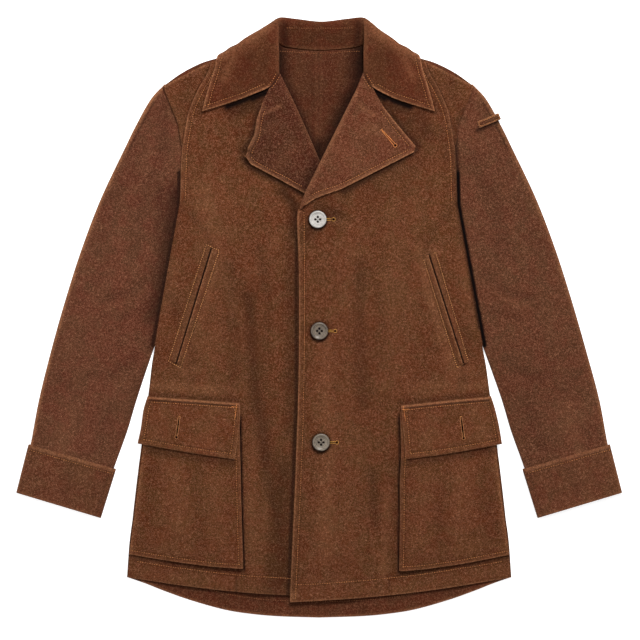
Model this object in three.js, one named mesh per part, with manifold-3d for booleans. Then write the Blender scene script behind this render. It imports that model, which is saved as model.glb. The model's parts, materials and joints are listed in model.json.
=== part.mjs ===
// A suede jacket laid on its back, buttoned, with its collar and lapels folded down. Millimetres.
// X runs towards the wearer's left, Y towards the collar and Z up from the surface it lies on.
// The origin is on that surface, below the middle of the jacket.
import * as THREE from "three";
import { mergeVertices } from "three/addons/utils/BufferGeometryUtils.js";
import Module from "manifold-3d";

const wasm = await Module();
wasm.setup();

// Thickness of each kind of wall, and the clearance between pieces that are sewn or laid together.
const SUEDE = 2;
const SLEEVE_WALL = 1.8;
const COLLAR_WALL = 2.6;
const LIP_WALL = 1.2;
const SEAM = 0.3;
const LOOSE = 0.6; // clearance where a piece lies loosely on the one below

const BACK_MID = SUEDE / 2;
const FRONT_MID = SUEDE + SEAM + SUEDE / 2;
const COLLAR_LIFT = COLLAR_WALL + SEAM; // the collar's fall lies below the back
const NECK_SHIFT = 4; // the neck opening lies this far towards the wearer's left

// The wearer's two sides, as the sign of X.
const LEFT = 1;
const RIGHT = -1;

const { clamp, lerp } = THREE.MathUtils;

function ease(t) {
  const c = clamp(t, 0, 1);
  return c * c * (3 - 2 * c);
}

// ---- Walls of cloth ----

// A closed wall round the middle surface that the rows of points describe. A loop joins each row's ends.
function clothWall(rows, wall, loop = false) {
  const count = rows[0].length;
  const at = (i, j) => {
    const row = rows[clamp(i, 0, rows.length - 1)];
    return row[loop ? (j + count) % count : clamp(j, 0, count - 1)];
  };
  const positions = [];
  for (const face of [1, -1]) {
    rows.forEach((row, i) =>
      row.forEach((point, j) => {
        const along = at(i + 1, j).clone().sub(at(i - 1, j));
        const across = at(i, j + 1).clone().sub(at(i, j - 1));
        const normal = along.cross(across).normalize();
        positions.push(...point.clone().addScaledVector(normal, (face * wall) / 2).toArray());
      }),
    );
  }
  const under = rows.length * count;
  const index = [];
  const quad = (a, b, c, d) => index.push(a, b, c, a, c, d);
  const cell = (i, j) => i * count + (j % count);
  for (let i = 0; i < rows.length - 1; i++) {
    for (let j = 0; j < count - (loop ? 0 : 1); j++) {
      const [a, b, c, d] = [cell(i, j), cell(i + 1, j), cell(i + 1, j + 1), cell(i, j + 1)];
      quad(a, b, c, d);
      quad(d + under, c + under, b + under, a + under);
    }
    if (loop) continue;
    const first = cell(i, 0);
    const last = cell(i, count - 1);
    quad(first + under, first + count + under, first + count, first);
    quad(last, last + count, last + count + under, last + under);
  }
  const end = (rows.length - 1) * count;
  for (let j = 0; j < count - (loop ? 0 : 1); j++) {
    const next = (j + 1) % count;
    quad(j, next, next + under, j + under);
    quad(end + j + under, end + next + under, end + next, end + j);
  }
  const geometry = new THREE.BufferGeometry();
  geometry.setAttribute("position", new THREE.Float32BufferAttribute(positions, 3));
  geometry.setIndex(index);
  geometry.computeVertexNormals();
  return geometry;
}

// A smooth edge through a short table of places.
function edge(places) {
  return new THREE.CatmullRomCurve3(
    places.map(([x, y, z = 0]) => new THREE.Vector3(x, y, z)),
    false,
    "centripetal",
  );
}

// Where the rows of a panel lie between its sections, when each section is followed by a number of steps.
function rowPlaces(steps) {
  const places = [0];
  steps.forEach((count, section) => {
    for (let k = 1; k <= count; k++) places.push((section + k / count) / steps.length);
  });
  return places;
}

// A panel between two long edges, given section by section, with a height for each place on it.
function sectionPanel({ inner, outer, steps, columns, height }) {
  const innerEdge = edge(inner);
  const outerEdge = edge(outer);
  return rowPlaces(steps).map((v) => {
    const from = innerEdge.getPoint(v);
    const to = outerEdge.getPoint(v);
    return columns.map((u) => {
      const point = from.clone().lerp(to, u);
      point.z = height(point.x, point.y, u, v);
      return point;
    });
  });
}

// A panel stretched between four edges: inner and outer run downwards, top and bottom run outwards.
function fourEdgePanel({ inner, outer, top, bottom, columns, rows, height }) {
  const [a, b, c, d] = [inner, outer, top, bottom].map(edge);
  const corners = [a.getPoint(0), b.getPoint(0), a.getPoint(1), b.getPoint(1)];
  return rows.map((v) =>
    columns.map((u) => {
      const point = a.getPointAt(v).multiplyScalar(1 - u).addScaledVector(b.getPointAt(v), u);
      point.addScaledVector(c.getPointAt(u), 1 - v).addScaledVector(d.getPointAt(u), v);
      point.addScaledVector(corners[0], -(1 - u) * (1 - v)).addScaledVector(corners[1], -u * (1 - v));
      point.addScaledVector(corners[2], -(1 - u) * v).addScaledVector(corners[3], -u * v);
      point.z = height(point.x, point.y, u, v);
      return point;
    }),
  );
}

// Evenly spaced places from 0 to 1.
const evenly = (count) => Array.from({ length: count + 1 }, (_, k) => k / count);

// A table of [out, y] or [out, y, z] on one side of the jacket. Near the neck it moves with the opening.
function onSide(side, places) {
  return places.map(([out, y, ...z]) => [side * out + neckShift(out, y), y, ...z]);
}

function neckShift(out, y) {
  return NECK_SHIFT * ease((100 - out) / 35) * ease((y - 280) / 50);
}

// ---- How high the layers lie ----

// The side of the body, from the foot of the armhole to the hem, on either side.
const BODY_SIDE = [
  { out: 220.8, y: 328.7 },
  { out: 201.4, y: 281 },
  { out: 193.4, y: 242 },
  { out: 196.2, y: 167 },
  { out: 203.2, y: 124 },
  { out: 218.8, y: 43 },
  { out: 226.5, y: 2 },
  { out: 233.2, y: -46 },
  { out: 240.7, y: -103 },
];
function bodySide(y) {
  const below = BODY_SIDE.findIndex((row) => row.y <= y);
  if (below === 0) return BODY_SIDE[0].out;
  if (below < 0) return BODY_SIDE.at(-1).out;
  const [a, b] = [BODY_SIDE[below - 1], BODY_SIDE[below]];
  return lerp(a.out, b.out, (a.y - y) / (a.y - b.y));
}

// The back rises over the collar's fall, and the fronts rise a little before it.
function neckRise(x, y, before = 0) {
  return COLLAR_LIFT * ease((y - 300 + before) / 24) * ease((180 + before - Math.abs(x)) / 30);
}

// The fronts' side edge lies on the sleeve, down to where the sleeve leaves the body.
const SLEEVE_STEP = 3.4;
const STEP_WIDTH = 26;
function sleeveStep(x, y) {
  const inside = bodySide(y) - Math.abs(x);
  return SLEEVE_STEP * ease(1 - inside / STEP_WIDTH) * ease((y + 58) / 30);
}

// Soft folds in the fronts, as ridges between two places.
const FOLDS = [
  { x0: -97, y0: -231, x1: -90, y1: -380, wide: 14, high: 2 },
  { x0: -147, y0: 167, x1: -158, y1: -60, wide: 28, high: 2.2 },
  { x0: -112, y0: 0, x1: -106, y1: -110, wide: 20, high: 1.5 },
  { x0: 46, y0: 90, x1: 42, y1: -330, wide: 22, high: 1.7 },
  { x0: 120, y0: 140, x1: 104, y1: -90, wide: 26, high: 2 },
];
function folds(x, y) {
  return FOLDS.reduce((sum, { x0, y0, x1, y1, wide, high }) => {
    const [runX, runY] = [x1 - x0, y1 - y0];
    const t = clamp(((x - x0) * runX + (y - y0) * runY) / (runX ** 2 + runY ** 2), 0, 1);
    const distance = Math.hypot(x - x0 - t * runX, y - y0 - t * runY);
    return sum + high * Math.exp(-((distance / wide) ** 2));
  }, 0);
}

// The overlapping front rises over the other front's edge, and again over its lapel.
const OVERLAP_RISE = 2.6;
const LAPEL_RISE = 4.9;
function overlapRise(x, y) {
  const overLapel = LAPEL_RISE * ease((y - 150) / 34) * ease((80 - x) / 65) * ease((330 - y) / 70);
  return OVERLAP_RISE * ease((78 - x) / 44) + overLapel;
}

const backHeight = (x, y) => BACK_MID + neckRise(x, y);
const underFront = (x, y) => FRONT_MID + neckRise(x, y, 14) + sleeveStep(x, y) + folds(x, y);
const overFront = (x, y) => underFront(x, y) + overlapRise(x, y);
const frontHeight = (side) => (side === LEFT ? overFront : underFront);

// The middle of a wall that lies on a front.
function onFront(side, wall, gap = SEAM) {
  return (x, y) => frontHeight(side)(x, y) + SUEDE / 2 + gap + wall / 2;
}

// ---- Back, fronts and yokes ----

const HEM_CORNER = [271.8, -368.5];
const NECK_POINT = [72, 396];
const SHOULDER = [
  [100, 384.5],
  [142, 366.5],
  [165.4, 359.5],
  [194.1, 346.2],
];

// Closer rows where the back rises over the collar's fall.
const BACK_ROWS = [
  0, 0.025, 0.05, 0.075, 0.1, 0.125, 0.15, 0.18, 0.22,
  0.285, 0.35, 0.415, 0.48, 0.545, 0.61, 0.675, 0.74, 0.805, 0.87, 0.935, 1,
];

function back(side) {
  const centre = side * (SEAM / 2);
  const rows = fourEdgePanel({
    inner: [
      [centre, 378],
      [centre, -30],
      [centre, -426],
    ],
    outer: onSide(side, [
      [217, 331],
      [202, 294.5],
      [193.6, 274.5],
      [188.2, 243],
      [188.6, 207],
      [186.3, 160],
      [192.6, 124.2],
      [210.2, 42.7],
      [220.4, 2],
      [229, -30],
      [235.5, -60],
      [240.7, -103],
      [251, -188],
      [262, -273],
      [268, -316],
      HEM_CORNER,
    ]),
    top: [
      [centre, 378],
      ...onSide(side, [[36, 380.6], [55, 384], [66, 390.5], NECK_POINT, ...SHOULDER, [217, 331]]),
    ],
    bottom: [
      [centre, -426],
      ...onSide(side, [
        [60, -424],
        [94, -421],
        [131, -415.3],
        [182, -401.2],
        [222, -387],
        [243.5, -378.4],
        HEM_CORNER,
      ]),
    ],
    columns: evenly(9),
    rows: BACK_ROWS,
    height: backHeight,
  });
  return clothWall(rows, SUEDE);
}

// The fronts' outer edge is the same on both sides: yoke seam, armhole, side and hem corner.
const FRONT_OUTER = [
  [151.1, 363.6],
  [158.3, 345],
  [170, 325],
  [183.8, 293],
  [193, 243],
  [195.3, 207],
  [195.8, 178],
  [196.2, 169],
  [196.6, 165],
  [215, 62],
  [231.4, -34],
  [241.6, -110],
  [257.5, -230],
  [270, -345],
  HEM_CORNER,
];
// Neck edge, roll line and front edge.
const FRONT_INNER = {
  [LEFT]: [
    [76.6, 395.4],
    [74.2, 373],
    [69.8, 344.2],
    [44, 293],
    [15.4, 235.3],
    [-9, 186],
    [-19.6, 158.5],
    [-21, 152.6],
    [-27.6, 150.4],
    [-27.3, 60],
    [-27.3, -32],
    [-28.5, -110],
    [-32.7, -230],
    [-38.8, -369],
    [-40.3, -404],
  ],
  [RIGHT]: [
    [-68.8, 395.2],
    [-66.6, 374],
    [-61.8, 345.2],
    [-34, 292],
    [-10, 237],
    [7.6, 192],
    [18.6, 162],
    [21.5, 154],
    [24, 147],
    [27, 60],
    [27, -32],
    [27, -110],
    [27, -230],
    [27, -365],
    [27, -397],
  ],
};
const FRONT_STEPS = [1, 1, 2, 2, 3, 2, 1, 1, 3, 3, 2, 3, 3, 1];
const FRONT_COLUMNS = [
  0, 0.05, 0.11, 0.18, 0.26, 0.34, 0.42, 0.5, 0.58, 0.66, 0.74, 0.82, 0.88, 0.93, 0.97, 1,
];

function front(side) {
  const rows = sectionPanel({
    inner: FRONT_INNER[side],
    outer: onSide(side, FRONT_OUTER),
    steps: FRONT_STEPS,
    columns: FRONT_COLUMNS,
    height: frontHeight(side),
  });
  return clothWall(rows, SUEDE);
}

// The yoke's inner edge follows the front's first sections and ends in a narrow point at the armhole.
const YOKE_SECTIONS = 4;
const YOKE_SEAM = [0.5, 0.2];
function yoke(side) {
  const seam = FRONT_OUTER.slice(0, YOKE_SECTIONS);
  const inner = seam.map(([out, y]) => [out + YOKE_SEAM[0], y + YOKE_SEAM[1]]);
  inner.push([193.2, 246]);
  const rows = sectionPanel({
    inner: onSide(side, inner),
    outer: onSide(side, [
      [220.8, 328.7],
      [213.8, 311.5],
      [207.5, 295.5],
      [199.3, 275],
      [194.6, 245],
    ]),
    steps: [2, 2, 2, 2],
    columns: evenly(4),
    height: frontHeight(side),
  });
  return clothWall(rows, SUEDE);
}

// ---- Sleeves and cuffs ----

// Half of a sleeve's height inside: at its two edges, and how much more in the middle.
const SLEEVE_EDGE = 1.5;
const SLEEVE_FULL = 1.3;
const TUBE_SIDES = 16;
const CUFF_RISE = SUEDE + SEAM + 0.2; // the sleeve's end lies inside the cuff

// Round a flattened tube: how far across it each place is, and its level from -1 below to 1 above.
function ringPlaces(square) {
  return Array.from({ length: TUBE_SIDES }, (_, k) => {
    const angle = (2 * Math.PI * k) / TUBE_SIDES;
    const sine = Math.sin(angle);
    const level = clamp(square * Math.sign(sine) * Math.sqrt(Math.abs(sine)), -1, 1);
    return { across: (1 - Math.cos(angle)) / 2, level };
  });
}

// A tube pressed flat between four edges, standing on the table or on base(v).
function flatTube({ outer, inner, top, bottom, rows, base, half, wall, square }) {
  const ring = ringPlaces(square);
  const plan = fourEdgePanel({
    inner: outer,
    outer: inner,
    top,
    bottom,
    rows,
    columns: ring.map(({ across }) => across),
    height: () => 0,
  });
  return plan.map((row, i) =>
    row.map((point, k) => {
      const { across, level } = ring[k];
      point.z = wall / 2 + base(rows[i]) + half(across, rows[i]) * (1 + level);
      return point;
    }),
  );
}

// A sleeve is flat at the armhole and flatter again towards the cuff.
function sleeveFullness(v) {
  return ease(v / 0.3) * (1 - 0.5 * ease((v - 0.7) / 0.2));
}

function sleeve(side) {
  const rows = flatTube({
    outer: onSide(side, [
      [217.6, 330.9],
      [236, 311.4],
      [259, 271],
      [273.8, 240.7],
      [308.8, 166.8],
      [335.8, 95.8],
      [358.5, 24.8],
      [378.4, -46],
      [395.9, -117],
      [407.5, -179],
      [421.7, -238],
    ]),
    inner: onSide(side, [
      [189, 160],
      [195, 124.2],
      [210.8, 42.7],
      [221, 2],
      [229.8, -30],
      [237.5, -52],
      [259.2, -117.2],
      [271.9, -159.8],
      [291.2, -214],
      [309.3, -273],
    ]),
    top: onSide(side, [
      [217.6, 330.9],
      [204, 294.5],
      [196, 274.5],
      [190, 243],
      [190.5, 207],
      [189, 160],
    ]),
    bottom: onSide(side, [
      [421.7, -238],
      [309.3, -273],
    ]),
    rows: evenly(16),
    base: (v) => CUFF_RISE * ease((v - 0.78) / 0.08),
    half: (u, v) => SLEEVE_EDGE + SLEEVE_FULL * Math.sin(Math.PI * u) * sleeveFullness(v),
    wall: SLEEVE_WALL,
    square: 1.25,
  });
  return clothWall(rows, SLEEVE_WALL, true);
}

const CUFF = {
  topOuter: [410.7, -180],
  bottomOuter: [428.1, -248.9],
  topInner: [288.1, -214.8],
  bottomInner: [309.8, -284.4],
};
const CUFF_HALF = 4.4;
function cuff(side) {
  const rows = flatTube({
    outer: onSide(side, [CUFF.topOuter, CUFF.bottomOuter]),
    inner: onSide(side, [CUFF.topInner, CUFF.bottomInner]),
    top: onSide(side, [CUFF.topOuter, CUFF.topInner]),
    bottom: onSide(side, [CUFF.bottomOuter, CUFF.bottomInner]),
    rows: [0, 0.33, 0.67, 1],
    base: () => 0,
    half: () => CUFF_HALF,
    wall: SUEDE,
    square: 1.62,
  });
  return clothWall(rows, SUEDE, true);
}

// A short stitched strap across the seam of the upper sleeve.
const TAB = { length: 33, width: 9.5, wall: 2.4, x: 242, y: 279.5, z: 6.3, turn: 0.39, tilt: 0.03 };
function sleeveTab() {
  const strap = new THREE.BoxGeometry(TAB.length, TAB.width, TAB.wall);
  return strap.rotateY(TAB.tilt).rotateZ(TAB.turn).translate(TAB.x, TAB.y, TAB.z);
}

// ---- Collar ----

// Sections from the collar's front edge round to the middle of the back. Each goes from the neck seam up
// the stand, over the roll and down the fall to its free edge: [out, y, z].
const COLLAR = [
  {
    seam: [64.8, 346.5, 6.2], roll: [61, 348.5, 8.7], over: [66.5, 336, 11.2], leaf: [73, 326, 10],
    turn: [105, 309.5, 9.2], under: [136, 299.5, 8.6], edge: [165, 292.5, 8.2],
  },
  {
    seam: [66.4, 356, 6.3], roll: [61, 359.5, 13], over: [67.3, 352, 13.4], leaf: [80, 343, 10.3],
    turn: [109.5, 328, 9.6], under: [136, 317, 9.5], edge: [161, 307.5, 9.2],
  },
  {
    seam: [67.5, 366, 6.2], roll: [61, 372, 16], over: [68, 369, 14.4], leaf: [86, 360, 10.2],
    turn: [113, 346, 9.6], under: [136, 334, 9.5], edge: [156.8, 322.5, 9.4],
  },
  {
    seam: [69.5, 381, 6.2], roll: [61.5, 389, 17.5], over: [69.5, 386, 15.2], leaf: [86, 380, 10.6],
    turn: [113, 366.5, 9.6], under: [132, 357.5, 9.5], edge: [148.2, 350, 9.3],
  },
  {
    seam: [70, 388, 6.2], roll: [61.5, 397, 17.4], over: [70, 395, 15], leaf: [86, 389.5, 10.7],
    turn: [113.5, 377.5, 9.7], under: [131.5, 370, 9.7], edge: [144.2, 367.6, 9.3],
  },
  {
    seam: [70, 391, 6.2], roll: [61.5, 401, 17.2], over: [70, 399, 14.8], leaf: [86, 393.5, 10.8],
    turn: [114, 382, 9.6], under: [131, 374.3, 9], edge: [141.9, 372, 5.4],
  },
  {
    seam: [70, 395.6, 6], roll: [61.5, 405.5, 16.8], over: [70, 404, 14.4], leaf: [86, 398.5, 10.6],
    turn: [114, 386.8, 8], under: [127, 381.4, 3.2], edge: [131.6, 375.6, 1.32],
  },
  {
    seam: [69.8, 398.8, 5.8], roll: [61.5, 409.5, 16], over: [69, 408.5, 13.6], leaf: [85, 403, 10.2],
    turn: [111, 390.2, 5.4], under: [115, 383.5, 1.6], edge: [130, 366, 1.35],
  },
  {
    seam: [66.5, 399, 5.2], roll: [61.5, 417, 14.5], over: [67.5, 416.5, 12], leaf: [76, 412.3, 8.8],
    turn: [87, 406, 4.8], under: [92, 398.5, 1.6], edge: [118, 360, 1.35],
  },
  {
    seam: [61.5, 392.5, 4.6], roll: [61, 421.5, 12.5], over: [64.5, 421.5, 10], leaf: [69, 419, 7],
    turn: [74, 414.5, 3.6], under: [77, 407, 1.5], edge: [92, 347, 1.35],
  },
  {
    seam: [54.5, 386.2, 4.3], roll: [57.5, 422.5, 10], over: [58.5, 424.6, 7], leaf: [59.5, 424.2, 4.4],
    turn: [60, 421, 2.2], under: [61, 412, 1.4], edge: [68, 339, 1.35],
  },
  {
    seam: [36, 382.6, 4.2], roll: [37, 420.5, 8.6], over: [37, 422.8, 6.2], leaf: [37, 422.3, 3.6],
    turn: [37, 419, 1.7], under: [37, 410, 1.35], edge: [38, 336, 1.35],
  },
  {
    seam: [0, 380, 4.2], roll: [0, 416.5, 8.6], over: [0, 418.8, 6.2], leaf: [0, 418.3, 3.6],
    turn: [0, 415, 1.7], under: [0, 406, 1.35], edge: [0, 334.5, 1.35],
  },
];
const COLLAR_PLACES = ["seam", "roll", "over", "leaf", "turn", "under", "edge"];
const COLLAR_FLOOR = COLLAR_WALL / 2 + 0.02;
const COLLAR_COLUMNS = [0, 0.5, 0.85, 1, 1.25, 1.6, 2, 2.5, 3, 3.5, 4, 4.35, 4.7, 5, 5.5, 6];

function collar() {
  const places = (section) => COLLAR_PLACES.map((place) => section[place]);
  const half = (side) => COLLAR.map((section) => onSide(side, places(section)));
  const sections = [...half(RIGHT), ...half(LEFT).reverse().slice(1)];
  const rows = sections.map((section) => {
    const path = edge(section);
    return COLLAR_COLUMNS.map((place) => {
      const point = path.getPoint(place / (COLLAR_PLACES.length - 1));
      point.z = Math.max(point.z, COLLAR_FLOOR);
      return point;
    });
  });
  return clothWall(rows, COLLAR_WALL);
}

// ---- Lapels ----

// Each row is a place on the roll line, the place on the free edge that lies across from it, and how far
// that edge curls up. The first row follows the collar's front edge.
const LAPELS = {
  [LEFT]: {
    inward: [0.89, -0.455],
    rows: [
      { roll: [52.5, 321.5], edge: [92, 299], curl: 0.4 },
      { roll: [40.5, 297.5], edge: [107.6, 278.5], curl: 0.8 },
      { roll: [26, 268.5], edge: [124, 259], curl: 1 },
      { roll: [10.6, 237.8], edge: [137.5, 243], curl: 1 },
      { roll: [3, 222.5], edge: [135.5, 235], curl: 0.8 },
      { roll: [-4, 208], edge: [109, 221.5], curl: 0.4 },
      { roll: [-11.5, 193], edge: [70, 201.5], curl: 0.3 },
      { roll: [-19.2, 176.9], edge: [31.5, 182], curl: 0.2 },
      { roll: [-24.2, 163], edge: [-2, 171], curl: 0 },
      { roll: [-26.6, 155.4], edge: [-18, 160.5], curl: 0 },
    ],
  },
  [RIGHT]: {
    inward: [-0.916, -0.4],
    rows: [
      { roll: [-44, 325], edge: [-80, 304], curl: 0.4 },
      { roll: [-33, 302], edge: [-86.5, 281], curl: 2.5 },
      { roll: [-23, 280], edge: [-90.2, 258.2], curl: 6 },
      { roll: [-14, 259.5], edge: [-99, 240.5], curl: 5 },
      { roll: [-7, 243.5], edge: [-104.1, 229], curl: 2 },
      { roll: [-2, 231.5], edge: [-95.3, 217.5], curl: 0.8 },
      { roll: [3, 220], edge: [-57, 197.2], curl: 0.2 },
      { roll: [6.5, 212], edge: [-15, 174], curl: 0 },
    ],
  },
};
// The roll, from the front edge round to the top of the leaf: how far in from the roll line, and how high.
const ROLL = [
  { inward: 4.6, rise: 0.35 },
  { inward: 2.4, rise: 0.6 },
  { inward: 1.3, rise: 2.3 },
  { inward: 2.4, rise: 4.2 },
];
const LAPEL_GAP = 0.9;
const LEAF_START = 5;
const LEAF_LOFT = { high: 1.9, reach: 12 }; // the leaf comes down from the roll over this reach
const LEAF_PLACES = [0, 0.16, 0.32, 0.49, 0.66, 0.83, 1];
const GORGE_PLACES = [0, 0.45, 1, 1.3, 1.6, 1.85, 2.1, 2.3, 2.55, 2.8, 3];
const GORGE_CLEARANCE = { x: 0.56, y: 1.29 };

// The gorge: the collar's front edge as far as its leaf, moved clear of it down the roll line.
function gorge(side) {
  const places = COLLAR_PLACES.slice(0, 4).map((place) => COLLAR[0][place]);
  const path = edge(onSide(side, places));
  return GORGE_PLACES.map((place) => {
    const point = path.getPoint(place / (places.length - 1));
    point.x -= side * GORGE_CLEARANCE.x;
    point.y -= GORGE_CLEARANCE.y;
    return point;
  });
}

function lapel(side) {
  const { inward, rows: table } = LAPELS[side];
  const height = frontHeight(side);
  const seat = onFront(side, COLLAR_WALL, LAPEL_GAP);
  const direction = new THREE.Vector3(...inward, 0);
  const rows = table.map(({ roll, edge: free, curl }) => {
    const from = new THREE.Vector3(...roll, 0);
    const leaf = new THREE.Vector3(...free, 0).sub(from);
    const width = leaf.length();
    leaf.normalize();
    const root = from.clone().addScaledVector(direction, ROLL[0].inward);
    const base = height(root.x, root.y);
    const fold = ROLL.map((place) => {
      const point = from.clone().addScaledVector(direction, place.inward);
      point.z = base + place.rise;
      return point;
    });
    const flat = LEAF_PLACES.map((place) => {
      const distance = lerp(LEAF_START, width, place);
      const point = from.clone().addScaledVector(leaf, distance);
      const loft = LEAF_LOFT.high * Math.exp((LEAF_START - distance) / LEAF_LOFT.reach);
      point.z = seat(point.x, point.y) + loft + curl * place ** 3;
      return point;
    });
    return [...fold, ...flat];
  });
  return clothWall([gorge(side), ...rows], COLLAR_WALL);
}

// ---- Pockets ----

// The slanted chest pockets: the line between each pair of lips, and the lips' width at its two ends.
const CHEST_SLITS = {
  [LEFT]: { top: [156.5, 88.9], foot: [204.8, -66] },
  [RIGHT]: { top: [151.7, 97.1], foot: [201.2, -64.6] },
};
const LIP = { topWidth: 7.6, footWidth: 5.8, gap: 0.4, crown: 0.5, rows: 12 };

function chestLip(side, outwards) {
  const { top, foot } = CHEST_SLITS[side];
  const from = new THREE.Vector3(side * top[0], top[1], 0);
  const to = new THREE.Vector3(side * foot[0], foot[1], 0);
  const run = to.clone().sub(from).normalize();
  const away = new THREE.Vector3(-run.y, run.x, 0);
  if (away.x * side * outwards < 0) away.negate();
  const seat = onFront(side, LIP_WALL, LIP.gap);
  const rows = evenly(LIP.rows).map((v) => {
    const width = lerp(LIP.topWidth, LIP.footWidth, v);
    return [0, 0.5, 1].map((u) => {
      const point = from.clone().lerp(to, v).addScaledVector(away, LIP.gap + u * width);
      const crown = LIP.crown * (1 - (2 * u - 1) ** 2);
      point.z = seat(point.x, point.y) + crown;
      return point;
    });
  });
  return clothWall(rows, LIP_WALL);
}

// The patch pockets: the inner edge folds under like a bellows, and the outer edge follows the side.
const POCKETS = {
  [LEFT]: {
    inner: [[115, -134], [117.2, -199], [115.7, -228], [115.7, -288], [114.5, -359.5]],
    bottom: [[114.5, -359.5], [141.6, -357.5], [201.4, -349.3], [268.6, -336.4]],
  },
  [RIGHT]: {
    inner: [[112.5, -134], [112, -152], [108.8, -288], [106.8, -356]],
    bottom: [[106.8, -356], [148.7, -353.3], [216.5, -344.3], [268.4, -335.6]],
  },
};
const POCKET_OUTER_TOP = [242.4, -128];
const POCKET_COLUMNS = 8;
const BELLOWS = 3.2;
const FOLD_RISE = SUEDE + SEAM; // the pocket's face clears the edge folded under it
// The fold of the bellows: how far out from the pocket's inner edge, and how much of the rise it has.
const BELLOWS_FOLD = [
  { out: 12, rise: 0 },
  { out: 3, rise: 0.02 },
  { out: 1, rise: 0.5 },
  { out: 3, rise: 0.98 },
  { out: 8, rise: 1 },
];

// How far the pocket's face stands off the front: most at its inner edge, less near the sewn bottom.
function bellows(u, v) {
  const full = BELLOWS * (1 - ease((u - 0.35) / 0.6)) * (1 - 0.75 * ease((v - 0.86) / 0.14));
  return Math.max(full, FOLD_RISE * (1 - ease(u / 0.5)));
}

function pocket(side) {
  const { inner, bottom } = POCKETS[side];
  const seat = onFront(side, SUEDE, LOOSE);
  const face = fourEdgePanel({
    inner: onSide(side, inner),
    outer: onSide(side, [POCKET_OUTER_TOP, [249.5, -188], [260.2, -273], [266, -316], bottom.at(-1)]),
    top: onSide(side, [inner[0], POCKET_OUTER_TOP]),
    bottom: onSide(side, bottom),
    rows: evenly(12),
    columns: evenly(POCKET_COLUMNS),
    height: (x, y, u, v) => seat(x, y) + bellows(u, v),
  });
  const rows = face.map(([corner, ...row], i) => {
    const rise = bellows(0, i / (face.length - 1));
    const fold = BELLOWS_FOLD.map((place) => {
      const point = corner.clone();
      point.x += side * place.out;
      point.z = seat(point.x, point.y) + place.rise * rise;
      return point;
    });
    return [...fold, ...row];
  });
  return clothWall(rows, SUEDE);
}

// The flaps lie on the pockets from a seam above the mouth.
const WELT = { high: 0.9, at: 0.1 }; // the ridge along a flap's top
const FLAPS = {
  [LEFT]: {
    inner: [[115.9, -124.5], [119, -148], [121.6, -172], [124, -201]],
    outer: [[242.7, -111.5], [248, -128], [254, -153], [258.4, -179.3]],
    top: [[115.9, -124.5], [180, -117.5], [242.7, -111.5]],
    bottom: [[124, -201], [166, -195.5], [207.7, -188.9], [258.4, -179.3]],
  },
  [RIGHT]: {
    inner: [[112.2, -121.1], [111.2, -140], [114, -166], [118.6, -201.3]],
    outer: [[242.5, -111.5], [248.2, -130.6], [252, -157], [256.8, -178.8]],
    top: [[112.2, -121.1], [180, -116], [242.5, -111.5]],
    bottom: [[118.6, -201.3], [165, -194.5], [210, -187], [256.8, -178.8]],
  },
};

function flap(side) {
  const { inner, outer, top, bottom } = FLAPS[side];
  const seat = onFront(side, SUEDE);
  const rows = fourEdgePanel({
    inner: onSide(side, inner),
    outer: onSide(side, outer),
    top: onSide(side, top),
    bottom: onSide(side, bottom),
    rows: evenly(8),
    columns: evenly(8),
    height: (x, y, u, v) => {
      const welt = WELT.high * ease(1 - Math.abs(v - WELT.at) / WELT.at);
      const overPocket = BELLOWS * (1 - ease((u - 0.4) / 0.6)) + SUEDE + LOOSE;
      return seat(x, y) + welt + overPocket * ease(v / 0.13);
    },
  });
  return clothWall(rows, SUEDE);
}

// ---- Buttons ----

const BUTTON = { radius: 12.7, rim: 4.2, face: 2.6, hole: 1, holeOffset: 2.1, sides: 24, holeSides: 8 };
const BUTTON_GAP = 0.5;
const BUTTON_PLACES = [
  { x: -1, y: 139.2 },
  { x: 1.3, y: -19.2 },
  { x: 3.7, y: -177.2 },
];

function asSolid(geometry) {
  geometry.deleteAttribute("normal");
  geometry.deleteAttribute("uv");
  const merged = mergeVertices(geometry, 1e-4);
  return new wasm.Manifold(
    new wasm.Mesh({
      numProp: 3,
      vertProperties: merged.attributes.position.array,
      triVerts: new Uint32Array(merged.index.array),
    }),
  );
}

function button() {
  const { radius, rim, face, hole, holeOffset, sides, holeSides } = BUTTON;
  const profile = [
    [0, 0],
    [radius - 1.6, 0],
    [radius, 1.4],
    [radius, rim - 1],
    [radius - 1, rim],
    [radius - 2.8, rim],
    [radius - 4, face],
    [0, face],
  ].map(([r, z]) => new THREE.Vector2(r, z));
  let solid = asSolid(new THREE.LatheGeometry(profile, sides).rotateX(Math.PI / 2));
  for (const [i, j] of [[1, 1], [1, -1], [-1, 1], [-1, -1]]) {
    const drill = new THREE.CylinderGeometry(hole, hole, 3 * rim, holeSides).rotateX(Math.PI / 2);
    solid = solid.subtract(asSolid(drill.translate(i * holeOffset, j * holeOffset, 0)));
  }
  const mesh = solid.getMesh();
  const geometry = new THREE.BufferGeometry();
  geometry.setAttribute("position", new THREE.Float32BufferAttribute(mesh.vertProperties, 3));
  geometry.setIndex([...mesh.triVerts]);
  geometry.computeVertexNormals();
  return geometry;
}

// ---- The jacket ----

const suede = () => new THREE.MeshStandardMaterial({ color: 0x643d29, roughness: 0.95, metalness: 0 });
const horn = () => new THREE.MeshStandardMaterial({ color: 0x8a8278, roughness: 0.4, metalness: 0 });

const jacket = new THREE.Group();
function add(name, geometry, material = suede()) {
  const mesh = new THREE.Mesh(geometry, material);
  mesh.name = name;
  jacket.add(mesh);
  return mesh;
}

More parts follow.
